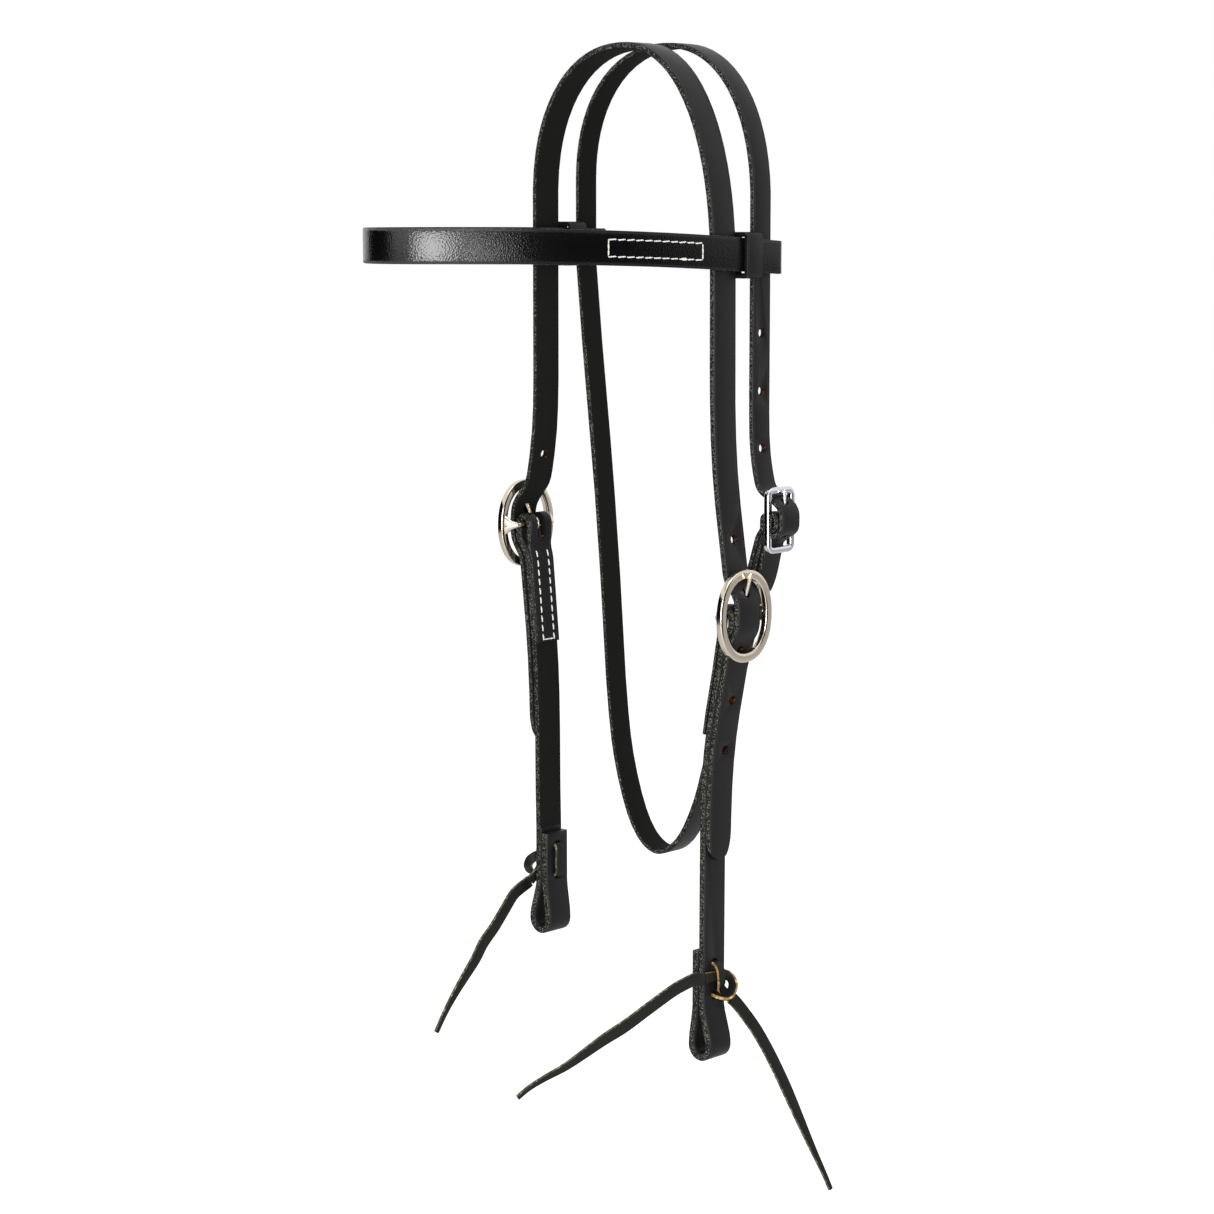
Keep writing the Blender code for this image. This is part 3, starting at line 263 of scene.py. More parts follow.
# The flesh side, dyed but not waxed: darker, dull and a little fluffy
bridleFlesh = makeLeatherFace({
    "name": "blackBridleFlesh", "deep": "#0c0c0b", "light": "#151513", "patchSize": 9 * mm,
    "poreSize": 0.6 * mm, "poreDepth": 0.12 * mm, "poreStrength": 0.7, "roughness": 0.82,
    "roughnessSpread": 0.05, "specular": 0.12})
# Edge dressed black, not burnished: rough and greenish black, with grey fibre tips painted in as
# light specks that also stand for their highlights
dressedEdge = makeCutLeather({
    "name": "dressedCutEdge", "deep": "#0f100b", "light": "#8f9085", "pebbleSize": 0.65 * mm,
    "tipReach": 0.58, "tipShare": 0.68, "depth": 0.25 * mm, "strength": 0.8, "roughness": 0.6,
    "specular": 0.25})
# Undyed leather inside the punched holes and slots: dull orange brown painted dark with deep
# shade, and lighter specks painted on as highlights on fibre tips
punchedWall = makeCutLeather({
    "name": "rawPunchedWall", "deep": "#1c0f07", "light": "#78441f", "pebbleSize": 1.1 * mm,
    "tipReach": 0.7, "tipShare": 0.6, "depth": 0.1 * mm, "strength": 0.5, "roughness": 0.8,
    "specular": 0.1})
# Oiled latigo lacing: a dull face of a warmer black than the straps
thongFace = makeLeatherFace({
    "name": "oiledLatigoFace", "deep": "#0f0f0c", "light": "#171712", "patchSize": 12 * mm,
    "poreSize": 0.7 * mm, "poreDepth": 0.08 * mm, "poreStrength": 0.5, "roughness": 0.55,
    "roughnessSpread": 0.08, "specular": 0.22})
# Its cut edge where the knot bends it, with the undyed core laid bare: golden, with painted
# highlights as lighter specks on fibre tips
thongCore = makeCutLeather({
    "name": "bareLatigoCore", "deep": "#8c6a3a", "light": "#d8bd84", "pebbleSize": 1.6 * mm,
    "tipReach": 0.8, "tipShare": 0.8, "depth": 0.08 * mm, "strength": 0.5, "roughness": 0.7,
    "specular": 0.2})
# The same edge along the tails, where the dye covers it thinly: dim olive, with painted highlights
# as paler specks on fibre tips
thongEdge = makeCutLeather({
    "name": "dyedLatigoEdge", "deep": "#45432f", "light": "#a09c7e", "pebbleSize": 1.4 * mm,
    "tipReach": 0.8, "tipShare": 0.7, "depth": 0.08 * mm, "strength": 0.5, "roughness": 0.7,
    "specular": 0.2})
# Polished nickel plate gone a little warm: pale champagne that mirrors the white room
warmNickel = makePlatedMetal({
    "name": "warmNickelPlate", "colour": "#ddd1c0", "rippleSize": 7 * mm,
    "rippleDepth": 0.05 * mm, "rippleStrength": 0.2, "wearSize": 5 * mm, "roughness": 0.08,
    "wornRoughness": 0.2})
# Fresh chrome plate: colder and sharper than the nickel
brightChrome = makePlatedMetal({
    "name": "brightChromePlate", "colour": "#dcdce4", "rippleSize": 6 * mm,
    "rippleDepth": 0.03 * mm, "rippleStrength": 0.15, "wearSize": 5 * mm, "roughness": 0.05,
    "wornRoughness": 0.14})
# Heavy waxed thread: matt off-white that stands out on the black
whiteThread = makeThread({
    "name": "waxedWhiteThread", "colour": "#f2f0ea", "shade": "#d6d2c6", "plySize": 0.35 * mm,
    "plyDepth": 0.05 * mm, "plyStrength": 0.4, "roughness": 0.6, "sheen": 0.2})


# Lines and sections

def throughPoints(a, b, c, d, t):
    # The Catmull-Rom curve's place at the share t of its way from b to c
    return 0.5 * (2 * b + (c - a) * t + (2 * a - 5 * b + 4 * c - d) * t * t
                  + (3 * b - a - 3 * c + d) * t * t * t)


def smoothLine(knots, step):
    # A curve through given points, as the solids have it
    ends = [knots[0] * 2 - knots[1]] + list(knots) + [knots[-1] * 2 - knots[-2]]
    line = []
    for a, b, c, d in zip(ends, ends[1:], ends[2:], ends[3:]):
        count = max(2, round((c - b).length / step))
        line += [throughPoints(a, b, c, d, k / count) for k in range(count)]
    line.append(knots[-1].copy())
    return line


def aheadOf(line, i, closed=False):
    if closed:
        return (line[(i + 1) % len(line)] - line[i - 1]).normalized()
    return (line[min(i + 1, len(line) - 1)] - line[max(i - 1, 0)]).normalized()


# Each corner of a rounded rectangle: the signs of its two sides, and its arc's start in half turns
corners = ((1, 1, 0.0), (-1, 1, 0.5), (-1, -1, 1.0), (1, -1, 1.5))
arcSteps = 3


def roundedSection(width, thickness, ease):
    # Corner arcs of a flat bar's section, from its first long face on
    points = []
    for wSign, tSign, start in corners:
        for k in range(arcSteps + 1):
            angle = math.pi * (start + 0.5 * k / arcSteps)
            points.append((wSign * (width / 2 - ease) + ease * math.cos(angle),
                           tSign * (thickness / 2 - ease) + ease * math.sin(angle)))
    return points


def ovalSection(wide, thick, sides=20):
    return [(wide / 2 * math.cos(math.tau * k / sides), thick / 2 * math.sin(math.tau * k / sides))
            for k in range(sides)]


def loftLine(name, line, across, sections, materials, slotOf, closed=False):
    # Lofts sections along a line; slotOf gives each long strip of faces its material
    built = bmesh.new()
    rings = []
    for i, point in enumerate(line):
        ahead = aheadOf(line, i, closed)
        wide = across[i] if isinstance(across, list) else across
        wide = (wide - ahead * wide.dot(ahead)).normalized()
        thick = ahead.cross(wide)
        section = sections(i)
        rings.append([built.verts.new(point + wide * a + thick * b) for a, b in section])
    sides = len(rings[0])
    pairs = zip(rings, rings[1:] + rings[:1]) if closed else zip(rings, rings[1:])
    for ring, following in pairs:
        for k in range(sides):
            j = (k + 1) % sides
            face = built.faces.new((ring[k], ring[j], following[j], following[k]))
            face.material_index = slotOf(k)
    if not closed:
        for ring in (rings[0], rings[-1]):
            built.faces.new(ring).material_index = slotOf(-1)
    bmesh.ops.recalc_face_normals(built, faces=built.faces[:])
    return addPiece(name, built, materials)


def addPiece(name, built, materials, smoothAngle=40.0):
    mesh = bpy.data.meshes.new(name)
    built.to_mesh(mesh)
    built.free()
    for material in materials:
        mesh.materials.append(material)
    mesh.shade_smooth()
    mesh.set_sharp_from_angle(angle=math.radians(smoothAngle))
    piece = bpy.data.objects.new(name, mesh)
    bpy.context.scene.collection.objects.link(piece)
    return piece


def standFor(piece, node):
    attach(piece, bodyOf[node])
    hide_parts(node)


# Thongs of the tie ends. Each row of the knot is a place (out of the cheek's outer face, back,
# up from the upper hole), the way its width lies, and its width and thickness, in millimetres

thong = {"width": 6.4 * mm, "thickness": 2.0 * mm, "tipShare": 0.36, "taperShare": 0.55,
         "step": 0.7 * mm, "ease": 0.35 * mm, "knotSteps": 8,
         "cut": {"near": thongCore, "off": thongEdge}}
tiePlace = {"near": (56.95 * mm, -455.7 * mm), "off": (61.65 * mm, -411.5 * mm)}
knotRoute = (
    ((2.2, 9.8, -19.6), (0.0, 0.78, 0.62), 5.4, 2.0),
    ((1.5, 7.0, -17.2), (0.0, 0.77, 0.64), 5.0, 2.0),
    ((1.35, 4.6, -15.0), (0.0, 0.76, 0.65), 4.8, 2.0),
    ((2.0, 2.6, -13.0), (0.0, 0.86, 0.5), 4.6, 2.0),
    ((3.5, 1.3, -10.4), (0.0, 0.97, 0.25), 4.6, 2.0),
    ((3.8, 0.8, -7.6), (0.0, 1.0, 0.0), 4.8, 2.0),
    ((3.75, 0.4, -3.9), (0.0, 1.0, 0.0), 4.8, 2.0),
    ((2.7, 0.1, -1.5), (0.0, 1.0, 0.0), 4.2, 2.1),
    ((0.4, 0.0, -0.2), (0.0, 1.0, 0.0), 3.7, 2.3),
    ((-4.15, 0.0, 0.0), (0.0, 1.0, 0.0), 3.7, 2.3),
    ((-8.3, 0.0, -0.3), (0.0, 1.0, 0.0), 3.8, 2.2),
    ((-9.7, 0.0, -2.6), (0.0, 1.0, 0.0), 4.6, 2.0),
    ((-9.7, 0.0, -8.25), (0.0, 1.0, 0.0), 5.0, 2.0),
    ((-9.7, 0.0, -13.9), (0.0, 1.0, 0.0), 4.6, 2.0),
    ((-8.3, 0.0, -16.2), (0.0, 1.0, 0.0), 3.8, 2.2),
    ((-4.15, 0.0, -16.5), (0.0, 1.0, 0.0), 3.7, 2.3),
    ((0.3, 0.0, -16.5), (0.0, 1.0, 0.0), 3.7, 2.3),
    ((2.9, -0.2, -17.0), (-0.6, 0.8, 0.0), 4.0, 2.2),
    ((5.4, 1.8, -17.6), (-0.96, 0.25, 0.0), 4.6, 2.0),
    ((5.9, 5.4, -16.4), (-1.0, 0.0, 0.0), 5.0, 2.0),
    ((5.0, 8.6, -12.6), (-1.0, 0.0, 0.0), 5.0, 2.0),
    ((3.6, 8.7, -9.3), (-0.8, 0.0, -0.6), 5.0, 2.0),
    ((2.0, 6.6, -7.2), (-0.25, 0.0, -0.97), 5.0, 2.0),
    ((1.35, 3.6, -6.5), (0.0, 0.0, -1.0), 4.6, 2.0),
    ((1.35, -2.0, -6.4), (0.0, 0.0, -1.0), 4.6, 2.0),
    ((1.5, -7.0, -6.2), (0.0, 0.1, -0.99), 5.2, 2.0),
    ((2.0, -10.4, -6.0), (0.0, 0.05, -1.0), 5.6, 2.0),
)
tailRoutes = {
    "near_tie_front_tail": ("near", (
        (2.07, -10.87, -5.97), (2.4, -14.0, -5.5), (2.3, -18.0, -4.6), (1.9, -26.0, -5.8),
        (1.3, -34.3, -7.9), (-1.1, -48.6, -14.0), (-4.5, -61.6, -20.6), (-8.8, -73.6, -26.4),
        (-16.2, -90.0, -36.5), (-21.9, -100.2, -41.9), (-26.1, -107.1, -46.2),
        (-29.4, -112.1, -50.8))),
    "near_tie_back_tail": ("near", (
        (2.3, 10.15, -19.9), (3.0, 12.7, -22.3), (5.5, 16.2, -27.8), (9.0, 22.5, -38.1),
        (12.5, 29.6, -52.1), (16.1, 36.7, -68.4), (19.5, 43.4, -85.2), (23.1, 50.7, -103.3),
        (26.2, 56.9, -118.1), (28.1, 60.6, -127.8))),
    "off_tie_front_tail": ("off", (
        (2.3, -10.15, -19.9), (2.6, -12.6, -21.2), (1.8, -17.0, -22.2), (1.3, -23.4, -25.0),
        (1.0, -30.5, -31.9), (0.6, -38.4, -39.5), (0.2, -46.9, -46.4), (-0.2, -53.1, -53.7),
        (-0.5, -60.8, -61.1), (-0.9, -68.5, -68.6), (-1.3, -76.1, -77.0),
        (-1.6, -82.9, -86.1))),
    "off_tie_back_tail": ("off", (
        (2.07, 10.87, -5.97), (3.2, 14.0, -5.9), (6.6, 18.0, -6.7), (11.8, 22.0, -8.6),
        (18.6, 29.3, -12.4), (25.4, 36.6, -16.8), (33.6, 45.4, -22.8), (41.8, 54.2, -29.4),
        (50.0, 63.0, -36.4), (58.8, 72.4, -44.0))),
}


def tiePoint(side, out, back, up):
    face, holeZ = tiePlace[side]
    return Vector((sideSign[side] * (face + out * mm), back * mm, holeZ + up * mm))


# A section's short sides are the strips after its second and its fourth corner
shortSides = [corner * (arcSteps + 1) - 1 for corner in (2, 4)]


def thongSlot(k):
    # The dye runs round the corners, so that only the short sides show the cut
    return 1 if k in shortSides else 0


print("thong tails")
for node, (side, route) in tailRoutes.items():
    line = smoothLine([tiePoint(side, *at) for at in route], thong["step"])
    lengths = [0.0]
    for a, b in zip(line, line[1:]):
        lengths.append(lengths[-1] + (b - a).length)
    whole = lengths[-1]

    def tailSection(i, lengths=lengths, whole=whole):
        # The tail narrows smoothly over its last stretch
        taper = thong["taperShare"]
        fade = max(0.0, min(1.0, (lengths[i] / whole - 1 + taper) / taper))
        fade = fade * fade * (3 - 2 * fade)
        return roundedSection(thong["width"] * (1 - (1 - thong["tipShare"]) * fade),
                              thong["thickness"], thong["ease"])

    across = [aheadOf(line, i).cross(xAxis) for i in range(len(line))]
    tail = loftLine(node + "_leather", line, across, tailSection, [thongFace, thongEdge],
                    thongSlot)
    standFor(tail, node)

print("knots")
for side, turn in sideSign.items():
    rows = [(tiePoint(side, at[0], turn * at[1], at[2]),
             Vector((turn * way[0], turn * way[1], way[2])), wide, thick)
            for at, way, wide, thick in knotRoute]
    line, across, sizes = [], [], []
    ends = [rows[0]] + rows + [rows[-1]]
    for a, b, c, d in zip(ends, ends[1:], ends[2:], ends[3:]):
        for k in range(thong["knotSteps"]):
            t = k / thong["knotSteps"]
            line.append(throughPoints(a[0], b[0], c[0], d[0], t))
            across.append((b[1] * (1 - t) + c[1] * t).normalized())
            sizes.append([(b[n] * (1 - t) + c[n] * t) * mm for n in (2, 3)])
    line.append(rows[-1][0])
    across.append(rows[-1][1].normalized())
    sizes.append([rows[-1][2] * mm, rows[-1][3] * mm])
    knot = loftLine(side + "_tie_leather", line, across,
                    lambda i, sizes=sizes: roundedSection(*sizes[i], thong["ease"]),
                    [thongFace, thong["cut"][side]], thongSlot)
    standFor(knot, side + "_tie")


# Straps: each is its solid's mesh with eased corners, and its cut sides and holes told apart

grainSlot, fleshSlot, edgeSlot, holeSlot = range(4)
straps = {"crownWidth": 16.5 * mm, "throatWidth": 13.4 * mm, "throatBack": 30.0 * mm,
          "cheekWidth": 16.0 * mm, "bandHeight": 16.4 * mm, "ease": 0.18 * mm, "easeSteps": 2,
          "easeAngle": 40.0, "sharpAngle": 30.0, "headMiddle": Vector((0, 0, -200 * mm)),
          "edgeReach": 1.2 * mm, "edgeTurn": 0.75, "holeReach": 3.4 * mm, "holeTurn": 0.6,
          "holesBelow": -130 * mm, "slotSide": 3 * mm}
# Points this close are one point, and faces this flat are one face
weldReach, flatAngle = 0.001 * mm, math.radians(0.5)


def solidCopy(node):
    built = bmesh.new()
    built.from_mesh(nodes[node].data)
    bmesh.ops.remove_doubles(built, verts=built.verts[:], dist=weldReach)
    bmesh.ops.dissolve_limit(built, angle_limit=flatAngle, verts=built.verts[:],
                             edges=built.edges[:])
    return built


def strapCopy(node, faceSlot, fromMiddle, width, grain=bridleGrain):
    piece = addPiece(node + "_leather", solidCopy(node),
                     [grain, bridleFlesh, dressedEdge, punchedWall], straps["sharpAngle"])
    bevel = piece.modifiers.new("easedEdges", "BEVEL")
    bevel.width, bevel.segments = straps["ease"], straps["easeSteps"]
    bevel.limit_method, bevel.angle_limit = "ANGLE", math.radians(straps["easeAngle"])
    bevel.use_clamp_overlap = True
    graph = bpy.context.evaluated_depsgraph_get()
    mesh = bpy.data.meshes.new_from_object(piece.evaluated_get(graph))
    piece.modifiers.clear()
    piece.data = mesh
    for polygon in mesh.polygons:
        spots = [mesh.vertices[v].co for v in polygon.vertices]
        polygon.material_index = faceSlot(polygon.center, polygon.normal, spots)
    across = mesh.attributes.new("fromMiddle", "FLOAT", "POINT")
    breadth = mesh.attributes.new("halfWidth", "FLOAT", "POINT")
    for vert in mesh.vertices:
        across.data[vert.index].value = fromMiddle(vert.co)
        breadth.data[vert.index].value = width / 2
    mesh.shade_smooth()
    mesh.set_sharp_from_angle(angle=math.radians(straps["sharpAngle"]))
    standFor(piece, node)


def strapSlot(centre, normal, spots, middle, halfWidth, grainIn):
    # Cut sides first, then what is inside a hole or slot, then the two broad faces
    reach = max(abs(spot.y - middle) for spot in spots)
    if abs(normal.y) > straps["edgeTurn"] and reach > halfWidth - straps["edgeReach"]:
        return edgeSlot
    if (reach < straps["holeReach"] and abs(normal.x) < straps["holeTurn"]
            and centre.z < straps["holesBelow"]):
        # The long sides of a slot took the dye, and the ends and round holes did not
        tall = max(spot.z for spot in spots) - min(spot.z for spot in spots)
        return fleshSlot if tall > straps["slotSide"] else holeSlot
    outward = normal.dot(centre - straps["headMiddle"])
    return grainSlot if outward > 0 or grainIn(centre) else fleshSlot


def dressStrap(node, middle, width, grainIn):
    strapCopy(node, lambda centre, normal, spots: strapSlot(
        centre, normal, spots, middle, width / 2, grainIn),
        lambda p: p.y - middle, width)


print("straps")
# Where a strap is folded back, its grain side faces the head too
throatFold = {"outside": 40 * mm, "foot": -270 * mm, "top": -225 * mm}
cheekFolds = {"near": {"above": -341 * mm, "below": -449 * mm},
              "off": {"above": -306 * mm, "below": -405 * mm}}
dressStrap("crown_strap", 0.0, straps["crownWidth"], lambda c: False)
dressStrap("throatlatch", straps["throatBack"], straps["throatWidth"],
           lambda c: c.x > throatFold["outside"] and throatFold["foot"] < c.z < throatFold["top"])
for side in sideSign:
    dressStrap(side + "_cheek_piece", 0.0, straps["cheekWidth"],
               lambda c, fold=cheekFolds[side]: c.z > fold["above"] or c.z < fold["below"])

band = {"nearOut": 63.4 * mm, "offOut": 64.1 * mm, "depth": 170 * mm, "z": -95.3 * mm,
        "nearSag": 7.0 * mm, "offSag": 1.2 * mm, "sagPower": 2.0, "turnCentre": 37 * mm,
        "boxStart": 19.5 * mm, "boxLength": 60.5 * mm, "boxHeight": 8.0 * mm,
        "innerEnd": -82 * mm}


def bandCentreZ(point):
    # The band lies a little lower towards its ends, most of all the near one
    backShare = max(0.0, (point.y + band["depth"]) / (band["turnCentre"] + band["depth"]))
    nearShare = 0.5 + 0.5 * max(-1.0, min(1.0, point.x / band["nearOut"]))
    sag = band["offSag"] + (band["nearSag"] - band["offSag"]) * nearShare
    return band["z"] - sag * backShare ** band["sagPower"]


def bandSlot(centre, normal, spots):
    if abs(normal.z) > straps["edgeTurn"]:
        return edgeSlot
    outward = normal.dot(Vector((centre.x, min(centre.y, 0.0), 0.0)))
    return grainSlot if outward > 0 or centre.y > band["innerEnd"] else fleshSlot


strapCopy("browband", bandSlot, lambda p: p.z - bandCentreZ(p), straps["bandHeight"],
          polishedGrain)
for side in sideSign:
    node = side + "_browband_keeper"
    low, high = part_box(node)
    middle = (low.y + high.y) / 2
    strapCopy(node, lambda centre, normal, spots: grainSlot,
              lambda p, middle=middle: p.y - middle, high.y - low.y)


# Stitching

stitch = {"threadWidth": 0.9 * mm, "flatness": 0.72, "sink": 0.45 * mm, "lift": 0.12 * mm,
          "pitch": 4.4 * mm, "length": 3.2 * mm, "slant": 4.0, "points": 8, "sides": 8,
          "steepness": 6.0, "twist": 9.0, "leastSwing": 0.6, "mostSwing": 1.4, "seed": 4,
          "rayReach": 50 * mm}


def buildStitchTree():
    # Lays one short twisted stitch at each step of every row, its ends pulled into the leather
    tree = bpy.data.node_groups.new("layStitches", "GeometryNodeTree")
    face = tree.interface
    face.new_socket("Geometry", in_out="INPUT", socket_type="NodeSocketGeometry")
    for name in ("Pitch", "Length", "Thread Width", "Sink", "Slant", "Last"):
        face.new_socket(name, in_out="INPUT", socket_type="NodeSocketFloat")
    face.new_socket("Thread", in_out="INPUT", socket_type="NodeSocketMaterial")
    face.new_socket("Geometry", in_out="OUTPUT", socket_type="NodeSocketGeometry")

    given = addNode(tree, "NodeGroupInput", {})
    rows = addNode(tree, "GeometryNodeMeshToCurve", {"Mesh": (given, "Geometry")})
    spots = addNode(tree, "GeometryNodeResampleCurve", {
        "Curve": (rows, "Curve"), "Length": (given, "Pitch")}, mode="LENGTH")
    # One stitch: a short line whose ends sink, swept by an oval thread that twists
    half = addNode(tree, "ShaderNodeMath", {0: (given, "Length"), 1: 0.5},
                   operation="MULTIPLY")
    back = addNode(tree, "ShaderNodeMath", {0: (half, 0), 1: -1.0}, operation="MULTIPLY")
    start = addNode(tree, "ShaderNodeCombineXYZ", {"X": (back, 0)})
    end = addNode(tree, "ShaderNodeCombineXYZ", {"X": (half, 0)})
    line = addNode(tree, "GeometryNodeCurvePrimitiveLine", {"Start": (start, 0), "End": (end, 0)})
    fine = addNode(tree, "GeometryNodeResampleCurve", {
        "Curve": (line, "Curve"), "Count": stitch["points"]}, mode="COUNT")
    along = addNode(tree, "GeometryNodeSplineParameter", {})
    middle = addNode(tree, "ShaderNodeMath", {0: (along, "Factor"), 1: 0.5},
                     operation="SUBTRACT")
    reach = addNode(tree, "ShaderNodeMath", {0: (middle, 0)}, operation="ABSOLUTE")
    share = addNode(tree, "ShaderNodeMath", {0: (reach, 0), 1: 2.0}, operation="MULTIPLY")
    steep = addNode(tree, "ShaderNodeMath", {0: (share, 0), 1: stitch["steepness"]},
                    operation="POWER")
    drop = addNode(tree, "ShaderNodeMath", {0: (steep, 0), 1: (given, "Sink")},
                   operation="MULTIPLY")
    down = addNode(tree, "ShaderNodeMath", {0: (drop, 0), 1: -1.0}, operation="MULTIPLY")
    shift = addNode(tree, "ShaderNodeCombineXYZ", {"Z": (down, 0)})
    bent = addNode(tree, "GeometryNodeSetPosition", {
        "Geometry": (fine, "Curve"), "Offset": (shift, 0)})
    twist = addNode(tree, "ShaderNodeMath", {0: (along, "Factor"), 1: stitch["twist"]},
                    operation="MULTIPLY")
    tilted = addNode(tree, "GeometryNodeSetCurveTilt", {
        "Curve": (bent, "Geometry"), "Tilt": (twist, 0)})
    ring = addNode(tree, "GeometryNodeCurvePrimitiveCircle", {
        "Resolution": stitch["sides"], "Radius": 0.5})
    flat = addNode(tree, "ShaderNodeMath", {0: (given, "Thread Width"), 1: stitch["flatness"]},
                   operation="MULTIPLY")
    size = addNode(tree, "ShaderNodeCombineXYZ", {
        "X": (given, "Thread Width"), "Y": (flat, 0), "Z": 1.0})
    oval = addNode(tree, "GeometryNodeTransform", {
        "Geometry": (ring, "Curve"), "Scale": (size, 0)})
    swept = addNode(tree, "GeometryNodeCurveToMesh", {
        "Curve": (tilted, "Curve"), "Profile Curve": (oval, "Geometry"), "Fill Caps": True})
    facing = addNode(tree, "GeometryNodeInputNamedAttribute", {"Name": "facing"},
                     data_type="FLOAT_VECTOR")
    ahead = addNode(tree, "GeometryNodeInputTangent", {})
    turned = addNode(tree, "FunctionNodeAlignRotationToVector", {"Vector": (ahead, "Tangent")},
                     axis="X")
    stood = addNode(tree, "FunctionNodeAlignRotationToVector", {
        "Rotation": (turned, "Rotation"), "Vector": (facing, "Attribute")},
        axis="Z", pivot_axis="X")
    # Each stitch lies a little across its row, no two quite alike
    uneven = addNode(tree, "FunctionNodeRandomValue", {
        "Min": stitch["leastSwing"], "Max": stitch["mostSwing"], "Seed": stitch["seed"]},
        data_type="FLOAT")
    angle = addNode(tree, "ShaderNodeMath", {0: (given, "Slant"), 1: (uneven, 1)},
                    operation="MULTIPLY")
    swing = addNode(tree, "ShaderNodeCombineXYZ", {"Z": (angle, 0)})
    lean = addNode(tree, "FunctionNodeEulerToRotation", {"Euler": (swing, 0)})
    slanted = addNode(tree, "FunctionNodeRotateRotation", {
        "Rotation": (stood, "Rotation"), "Rotate By": (lean, "Rotation")},
        rotation_space="LOCAL")
    place = addNode(tree, "GeometryNodeSplineParameter", {})
    kept = addNode(tree, "ShaderNodeMath", {0: (place, "Factor"), 1: (given, "Last")},
                   operation="LESS_THAN")
    laid = addNode(tree, "GeometryNodeInstanceOnPoints", {
        "Points": (spots, "Curve"), "Selection": (kept, 0), "Instance": (swept, "Mesh"),
        "Rotation": (slanted, "Rotation")})
    real = addNode(tree, "GeometryNodeRealizeInstances", {"Geometry": (laid, "Instances")})
    smooth = addNode(tree, "GeometryNodeSetShadeSmooth", {"Geometry": (real, "Geometry")})
    dyed = addNode(tree, "GeometryNodeSetMaterial", {
        "Geometry": (smooth, "Geometry"), "Material": (given, "Thread")})
    addNode(tree, "NodeGroupOutput", {"Geometry": (dyed, "Geometry")})
    return tree


stitchTree = buildStitchTree()


def layRows(name, node, rows, pitch, length, slant=0.0, width=stitch["threadWidth"],
            last=2.0):
    # Each row is a list of (point, facing), and takes stitches up to the share last of it
    built = bmesh.new()
    facing = built.verts.layers.float_vector.new("facing")
    for row in rows:
        previous = None
        for point, normal in row:
            vert = built.verts.new(point + normal * stitch["lift"])
            vert[facing] = normal
            if previous is not None:
                built.edges.new((previous, vert))
            previous = vert
    piece = addPiece(name, built, [whiteThread])
    laying = piece.modifiers.new("stitches", "NODES")
    laying.node_group = stitchTree
    values = {"Pitch": pitch, "Length": length, "Thread Width": width, "Sink": stitch["sink"],
              "Slant": math.radians(slant), "Last": last, "Thread": whiteThread}
    for item in stitchTree.interface.items_tree:
        if item.in_out == "INPUT" and item.name in values:
            laying[item.identifier] = values[item.name]
    graph = bpy.context.evaluated_depsgraph_get()
    mesh = bpy.data.meshes.new_from_object(piece.evaluated_get(graph))
    piece.modifiers.clear()
    piece.data = mesh
    standFor(piece, node)
    print(" ", name, len(mesh.polygons), "faces")


def surfaceOf(node):
    mesh = nodes[node].data
    return BVHTree.FromPolygons([v.co for v in mesh.vertices],
                                [p.vertices[:] for p in mesh.polygons])


def rowOn(tree, starts, way):
    # Drops a row of points onto a surface, with the way that the surface faces at each
    hits = (tree.ray_cast(start, way, stitch["rayReach"]) for start in starts)
    return [hit[:2] for hit in hits if hit[0] is not None]


print("stitching")
foldThreads = {
    "near_cheek_stitching": {"strap": "near_cheek_piece", "sign": 1, "top": -292 * mm,
                             "foot": -337 * mm, "back": 0.0, "spacing": 8.0 * mm},
    "off_cheek_stitching": {"strap": "off_cheek_piece", "sign": -1, "top": -257.5 * mm,
                            "foot": -301 * mm, "back": 0.0, "spacing": 8.0 * mm},
    "throatlatch_stitching": {"strap": "throatlatch", "sign": 1, "top": -246 * mm,
                              "foot": -262 * mm, "back": 30 * mm, "spacing": 6.6 * mm},
}
foldRow = {"inside": 30 * mm, "steps": 60, "footDrop": 1.2 * mm, "footSteps": 8}
for node, row in foldThreads.items():
    # Two rows down the inner ply and one stitch across at their foot
    tree = surfaceOf(row["strap"])
    inside, way = row["sign"] * foldRow["inside"], Vector((row["sign"], 0, 0))
    half, drop = row["spacing"] / 2, (row["foot"] - row["top"]) / foldRow["steps"]
    down = [[Vector((inside, row["back"] + y, row["top"] + drop * k))
             for k in range(foldRow["steps"] + 1)] for y in (-half, half)]
    layRows(node + "_rows", node, [rowOn(tree, starts, way) for starts in down],
            stitch["pitch"], stitch["length"], stitch["slant"])
    foot = [Vector((inside, row["back"] + half * k / foldRow["footSteps"],
                    row["foot"] - foldRow["footDrop"])) for k in range(foldRow["footSteps"] + 1)]
    layRows(node + "_foot", node, [rowOn(tree, foot, way)], row["spacing"], row["spacing"],
            last=0.5)

